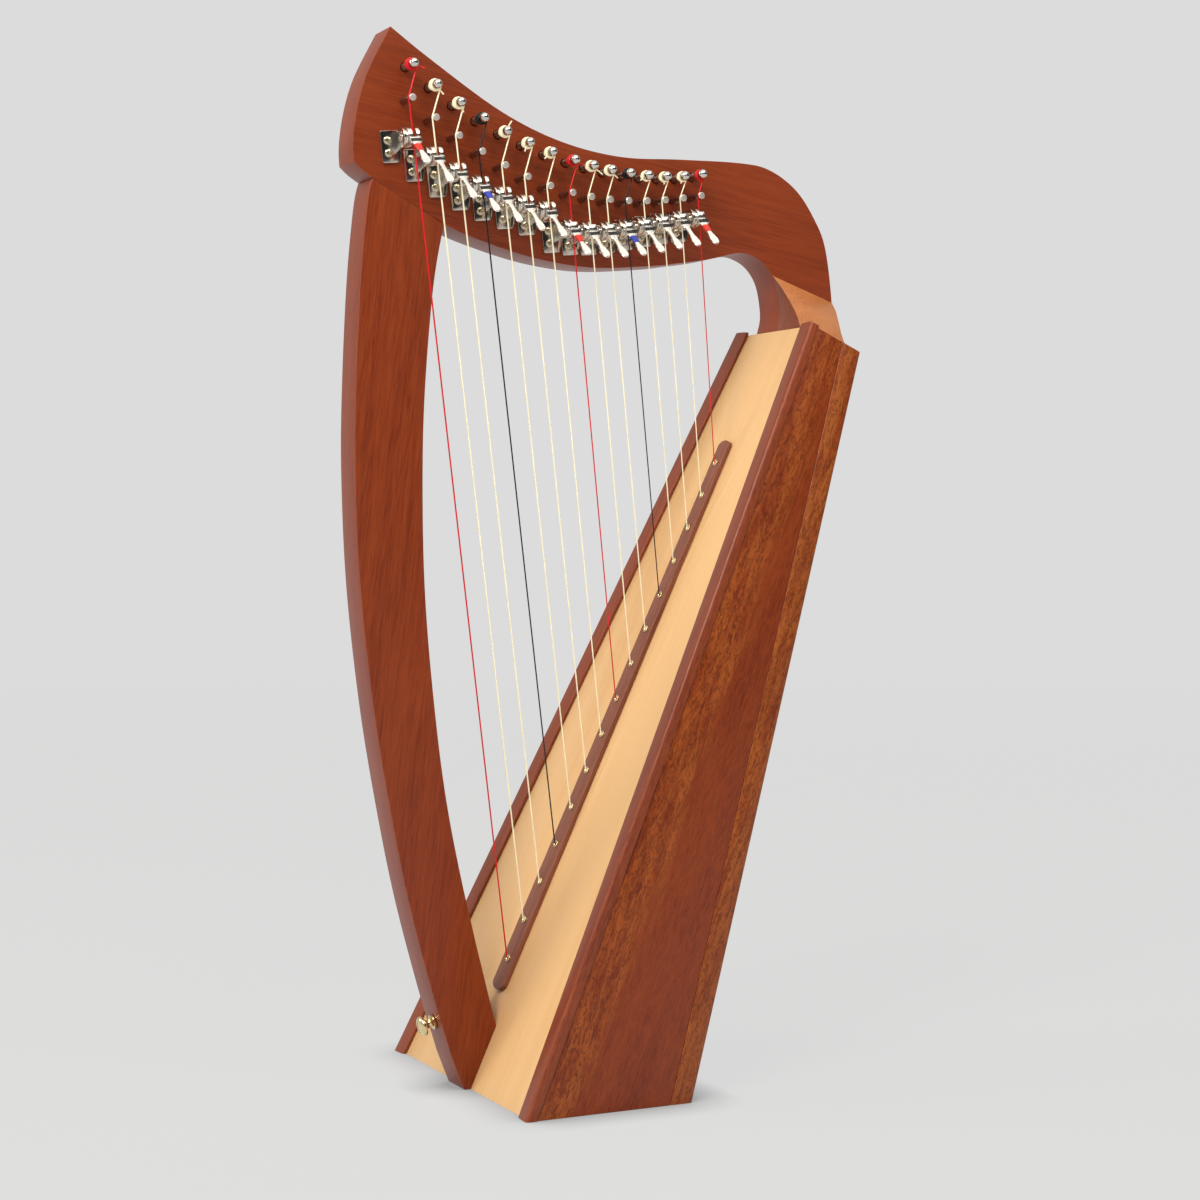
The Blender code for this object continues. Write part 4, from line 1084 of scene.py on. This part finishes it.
def on_arc(angle, reach, rise):
    """A (y, z) point of the lever's curve, by angle in degrees up from the front."""
    a = radians(angle)
    return -reach * cos(a), rise * sin(a)


def extruded(outline, left, right, edge):
    """A piece with this (y, z) outline in mm between two x values, its edges rounded."""
    item = lofted("tool", [[Vector((x, y, z)) * MM for y, z in outline] for x in (left, right)])
    round_edges(item, edge * MM, 2, 40.0)
    return item


def disc_outline():
    """Round at the back and drawn out to the shell at the front."""
    angles = [360 * k / DISC_STEPS for k in range(DISC_STEPS)]
    return [on_arc(a, SHELL_REACH if cos(radians(a)) > 0 else DISC_RADIUS, DISC_RADIUS)
            for a in angles]


def arc_strip(reach, start, end, steps, tipped=True):
    """A curved strip of the lever's shell between two angles, with a tip at its end if wanted."""
    angles = spread(start, end, steps)
    outer = [on_arc(a, reach, DISC_RADIUS) for a in angles]
    inner = [on_arc(a, reach - SHELL_THICK, DISC_RADIUS - SHELL_THICK) for a in reversed(angles)]
    if not tipped:
        return outer + inner
    ahead = on_arc(end + TIP_ANGLE, reach - SHELL_THICK / 2, DISC_RADIUS - SHELL_THICK / 2)
    tip = [(1 - TIP_SHARE) * (a + b) / 2 + TIP_SHARE * c for a, b, c in zip(outer[-1], inner[0], ahead)]
    return outer + [tip] + inner


def width_at(share):
    """The handle's width at a share of its length, eased between the listed ones."""
    for (s0, w0), (s1, w1) in zip(HANDLE_WIDTHS, HANDLE_WIDTHS[1:]):
        if share <= s1:
            t = (share - s0) / (s1 - s0)
            return w0 + (w1 - w0) * t * t * (3 - 2 * t)
    return HANDLE_WIDTHS[-1][1]


def handle_ring(share, grow, steps=16):
    """A rounded cross-section of the handle, grown by an even thickness."""
    reach = HANDLE_END - HANDLE_START
    thin = reach.normalized().cross(X_AXIS)
    half = width_at(share) / 2 + grow
    deep = HANDLE_THICK / 2 + grow
    dish = DISH_DEPTH * sin(pi * min(max((share - DISH_FROM) / (1 - DISH_FROM), 0.0), 1.0))
    ring = []
    for k in range(steps):
        a = FULL_TURN * k / steps
        u = copysign(abs(cos(a)) ** HANDLE_POWERS[0], cos(a)) * half
        v = copysign(abs(sin(a)) ** HANDLE_POWERS[1], sin(a)) * deep
        if abs(u) < half * DISH_WIDTH and v > 0 and grow == 0:
            v -= dish
        ring.append((HANDLE_START + reach * share + X_AXIS * u + thin * v) * MM)
    return ring


def sleeve_master():
    """A short soft tube round the neck of the handle."""
    rings = []
    for k, share in enumerate(spread(SLEEVE_FROM, SLEEVE_TO, SLEEVE_STEPS)):
        bulge = sin(pi * k / SLEEVE_STEPS)
        rings.append(handle_ring(share, SLEEVE_THICK * (SLEEVE_RIM + (1 - SLEEVE_RIM) * bulge), 20))
    item = lofted("sleeve_master", rings)
    round_edges(item, 0.18 * MM, 2, 50.0)
    finish_mesh(item, None, 50.0)
    return item


def axle(ear_right, head, end):
    """The rivet's head, the axle through the ear and the washer beyond it."""
    washer = ear_right + AXLE_GAP - head
    profile = ((0.4, -0.12), (RIVET_RADIUS * 0.6, -0.05), (RIVET_RADIUS * 0.92, 0.15), (RIVET_RADIUS, 0.4),
               (RIVET_RADIUS, RIVET_THICK), (AXLE_RADIUS, RIVET_THICK), (AXLE_RADIUS, washer),
               (WASHER_RADIUS - WASHER_CHAMFER, washer), (WASHER_RADIUS, washer + WASHER_CHAMFER),
               (WASHER_RADIUS, end - head))
    return turned("tool", X_AXIS * head * MM, X_AXIS, in_mm(profile), ROUND_SIDES)


def lever_master(fork):
    """A lever about its hinge, in the lever's own axes."""
    ear_left = EAR_LEFT + (0.0 if fork else TREBLE_SHIFT)
    left = -FORK_HALF if fork else CAP_LEFT
    wall_right = -FORK_SLOT if fork else CAP_LEFT + CAP_WALL
    item = extruded(disc_outline(), left, wall_right, 0.45)
    floor = degrees(asin(FLANGE_LOW / DISC_RADIUS))
    if fork:
        root = degrees(asin(FORK_ROOT / DISC_RADIUS))
        inset = FORK_HALF - SHELL_INSET
        prong = FORK_SLOT + FORK_CLEAR
        strips = ((arc_strip(SHELL_REACH, floor, FORK_TIP, 22), prong, FORK_HALF, SHELL_EDGE),
                  (arc_strip(SHELL_REACH, floor, root, 10, False), -inset, inset, 0.2))
    else:
        inset = CAP_LEFT + SHELL_INSET
        strips = ((arc_strip(SHELL_REACH, floor, CAP_TOP, 20), inset, CAP_RIGHT, SHELL_EDGE),
                  (arc_strip(DISC_RADIUS, *CAP_BACK, 16, False), inset, CAP_RIGHT, SHELL_EDGE))
    flange = [(-FLANGE_ROOT, FLANGE_TOP), (-SHELL_REACH - FLANGE_OUT, FLANGE_TOP),
              (-SHELL_REACH - FLANGE_OUT, FLANGE_LOW), (FLANGE_SLOPE - FLANGE_ROOT, FLANGE_LOW)]
    half = FORK_HALF - FLANGE_INSET
    combine(item, axle(ear_left + EAR_THICK, ear_left - AXLE_GAP - RIVET_THICK, left + AXLE_BITE))
    for strip in (*strips, (flange, -half, half, 0.35)):
        combine(item, extruded(*strip))
    combine(item, lofted("tool", [handle_ring(share, 0.0) for share in spread(0.0, 1.0, HANDLE_STEPS)]))
    finish_mesh(item, lit_lever_nickel, 35.0)
    return item


def bracket_master(shift):
    """A plate that lies along the leaning neck, and its ear, in the lever's own axes."""
    back_y = AXIS_STAND - PLATE_GAP
    lean_x = LEAN_X * cos(LEVER_TILT) + LEAN_Z * sin(LEVER_TILT)
    lean_z = LEAN_Z * cos(LEVER_TILT) - LEAN_X * sin(LEVER_TILT)
    left, right = PLATE_LEFT + shift, PLATE_RIGHT + shift
    corners = [(left, PLATE_LOW + PLATE_CUT), (left + PLATE_CUT, PLATE_LOW)]
    corners += [(right + PLATE_CORNER * u, PLATE_LOW + PLATE_CORNER * v) for u, v in PLATE_CURVE]
    corners += [(right + x, PLATE_TOP + z) for x, z in PLATE_SHOULDER]
    corners += [(left + PLATE_CUT, PLATE_TOP), (left, PLATE_TOP - PLATE_CUT)]
    fine = smooth_line([Vector((x, 0.0, z)) for x, z in corners], 5, radians(35))
    item = lofted("tool", [[Vector((p.x, y + lean_x * p.x + lean_z * p.z, p.z)) * MM for p in fine]
                           for y in (back_y - PLATE_THICK, back_y)])
    round_edges(item, 0.4 * MM, 3, 40.0)
    foot_y = back_y - PLATE_THICK / 2
    ear = [on_arc(a, EAR_RADIUS, EAR_RADIUS) for a in spread(EAR_HALF_ANGLE, -EAR_HALF_ANGLE, 32)]
    ear = [(foot_y, EAR_FOOT_TOP)] + ear + [(foot_y, EAR_FOOT_LOW)]
    combine(item, extruded(ear, EAR_LEFT + shift, EAR_LEFT + EAR_THICK + shift, 0.35))
    finish_mesh(item, nickel, 35.0)
    return item


def screw_master():
    """A pan-head screw with a cross recess, its axis along -Y and its seat at the origin."""
    profile = [(SCREW_RADIUS, SCREW_ROOT)]
    profile += [(max(SCREW_RADIUS * cos(a), 0.05), SCREW_RIM + (SCREW_TOP - SCREW_RIM) * sin(a))
                for a in quarter(8)]
    item = turned("tool", Vector(), -Y_AXIS, in_mm(profile), 28)
    for turn in (0.0, 90.0):
        a = radians(turn + CROSS_TURN)
        along = Vector((cos(a), 0.0, sin(a)))
        across = Vector((-sin(a), 0.0, cos(a)))
        rings = [[(along * u * length + across * v * width + Y_AXIS * y) * MM for u, v in SQUARE]
                 for y, length, width in CROSS_SECTIONS]
        combine(item, lofted("tool", rings), "DIFFERENCE")
    finish_mesh(item, screw_metal, 35.0)
    return item


lever_shapes = {fork: lever_master(fork) for fork in (True, False)}
bracket_shapes = {fork: bracket_master(0.0 if fork else TREBLE_SHIFT) for fork in (True, False)}
screw_shape = screw_master()
sleeve_shape = sleeve_master()
tilt = Matrix.Rotation(-LEVER_TILT, 4, "Y")

for i, (name, place) in enumerate(zip(NAMES, lever_places)):
    fork = i < BASS_LEVERS
    x = SCREW_X + (0.0 if fork else TREBLE_SHIFT)
    body = "lever_" + name
    here = Matrix.Translation(place) @ tilt
    stands_for(placed_copy("lever_arm_" + name, lever_shapes[fork], here), "lever_" + name, body)
    stands_for(placed_copy("bracket_" + name, bracket_shapes[fork], here), "lever_brackets")
    for end, height, turn in zip(("upper", "lower"), SCREW_HEIGHTS, (20.0, 75.0)):
        seat = here @ Vector((x * MM, 0.0, height * MM))
        seat.y = face_y(seat.x, seat.z, (PLATE_GAP + PLATE_THICK) * MM)
        spin = Matrix.Rotation(radians(47.0 * i + turn), 4, "Y")
        item = placed_copy("screw_%s_%s" % (end, name), screw_shape, Matrix.Translation(seat) @ spin)
        stands_for(item, "lever_brackets")
    tone = STRING_LOOKS[string_slot(i)][1]
    if tone is not None:
        item = placed_copy("sleeve_" + name, sleeve_shape, here, tone)
        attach(item, body)
for master in (*lever_shapes.values(), *bracket_shapes.values(), screw_shape, sleeve_shape, pin_shape):
    bpy.data.objects.remove(master, do_unlink=True)

# Strap button
button_bm = node_mesh("strap_button")
button_corners = node_corners("strap_button")
centre = mean(button_corners)
areas = {}
for face in button_bm.faces:
    key = tuple(round(c, 2) for c in face.normal)
    areas[key] = areas.get(key, 0.0) + face.calc_area()
fronts = [key for key in areas if key[0] < -0.1 and abs(key[1]) < 0.1]
button_way = Vector(max(fronts, key=areas.get)).normalized()
reach = [(p - centre).dot(button_way) for p in button_corners]
button_foot = centre + button_way * min(reach)
stretch = (max(reach) - min(reach)) / BUTTON_PROFILE[-1][1]
profile = [(r * MM, d * stretch) for r, d in BUTTON_PROFILE]
button = turned("button", button_foot, button_way, profile, 40, brass, 40.0)
side = button_way.cross(Y_AXIS).normalized() * BUTTON_SLOT_HALF
other = button_way.cross(side).normalized() * BUTTON_SLOT_WIDE
rings = [[button_foot + (button_way * d + side * u + other * v) * MM for u, v in SQUARE]
         for d in BUTTON_SLOT_ENDS]
combine(button, lofted("tool", rings), "DIFFERENCE")
finish_mesh(button, brass, 40.0)
stands_for(button, "strap_button")

# Camera
CAMERA_PLACE = (-0.69928, -1.5318, 0.3632)
CAMERA_TURN = (88.474, 0.0, -24.502)
LENS_MM = 75.0
SENSOR_MM = 36.0
scene = bpy.context.scene
scene.camera = add_object("camera", bpy.data.cameras.new("camera"))
scene.camera.data.lens = LENS_MM
scene.camera.data.sensor_width = SENSOR_MM
scene.camera.location = CAMERA_PLACE
scene.camera.rotation_euler = [radians(a) for a in CAMERA_TURN]

# Floor: it glows evenly, a little more far away, with a painted contact shadow where something stands on it
FLOOR_SIZE = 60.0
FLOOR_TONE = 0.06
FLOOR_GLOW = (0.66, 0.69)
FLOOR_GLOW_AT = (1.0, 5.0)
# Reach and depth of the painted contact shadow
CONTACT_REACH = 35.0 * MM
CONTACT_OPEN = 0.45
CONTACT_DIM = 0.45
WHITE = (1.0, 1.0, 1.0)


def floor_paint():
    plain = grey(FLOOR_TONE)
    n = Material("floor_paint", plain, 0.9)
    toned = n.mix(n.level(n.noise(grey(3.0), 3.0, 0.5), 0.3, 0.7), plain, tinted(plain, grey(0.98)))
    away = n.vectors("LENGTH", n.place, result="Value")
    # Ambient occlusion dims the glow: a painted contact shadow.
    shade = n.add("AmbientOcclusion", {"Distance": CONTACT_REACH}).outputs["AO"]
    even = n.level(away, *FLOOR_GLOW_AT, *FLOOR_GLOW)
    glow = n.times(even, n.level(shade, CONTACT_OPEN, 1.0, CONTACT_DIM, 1.0))
    n.set({"Base Color": toned, "Specular IOR Level": 0.0})
    n.set({"Emission Color": WHITE, "Emission Strength": glow})
    return n.material


floor_bm = bmesh.new()
floor_bm.faces.new([floor_bm.verts.new((x * FLOOR_SIZE / 2, y * FLOOR_SIZE / 2, 0.0)) for x, y in SQUARE])
floor = to_object("floor", floor_bm, floor_paint())

# World: plain grey where the camera looks, and warm light with a dark zone for everything else
BACKGROUND = 0.716
WARM = (1.0, 0.96, 0.90)
WORLD_BRIGHT = 0.50
WORLD_DARK = 0.02
DARK_SIDE = Vector((0.55, -0.83, 0.05)).normalized()
DARK_SQUEEZE = 2.0
DARK_FADE = (-0.05, 0.8)
world = bpy.data.worlds.new("studio")
world.use_nodes = True
n = Nodes(world.node_tree)
sky = n.add("TexCoord", {}).outputs["Generated"]
seen = n.add("LightPath", {}).outputs["Is Camera Ray"]
flat = n.vectors("MULTIPLY", sky, (1.0, 1.0, DARK_SQUEEZE))
facing = n.along(n.vectors("NORMALIZE", flat), DARK_SIDE)
fade = n.level(facing, *DARK_FADE, WORLD_BRIGHT, WORLD_DARK, interpolation_type="SMOOTHSTEP")
ground = n.tree.nodes["Background"]
n.feed(ground.inputs["Strength"], n.mix(seen, fade, BACKGROUND, "FLOAT"))
n.feed(ground.inputs["Color"], n.mix(seen, WARM, WHITE))
scene.world = world
scene.view_settings.view_transform = "Standard"

# Lamps: place, size and power in watts
AIM = Vector((0.0, 0.0, 0.35))
LAMPS = (
    ("key", (-1.5, -1.3, 2.3), (1.1, 1.1), 54.0),
    ("front", (0.3, -1.5, 2.2), (1.6, 0.9), 17.0),
    ("fill", (1.6, -1.9, 1.2), (0.7, 1.3), 10.0),
    ("overhead", (0.4, 0.0, 2.6), (2.4, 2.4), 14.0),
    ("rim", (-1.9, 0.9, 1.4), (0.8, 1.4), 16.0),
)
for name, place, size, power in LAMPS:
    lamp = add_object(name, bpy.data.lights.new(name, "AREA"))
    lamp.data.shape = "RECTANGLE"
    lamp.data.size, lamp.data.size_y = size
    lamp.data.energy = power
    lamp.data.color = WARM
    lamp.location = place
    lamp.rotation_euler = (AIM - Vector(place)).to_track_quat("-Z", "Y").to_euler()
    lamp.visible_glossy = name != "fill"
    lamp.visible_diffuse = name != "overhead"
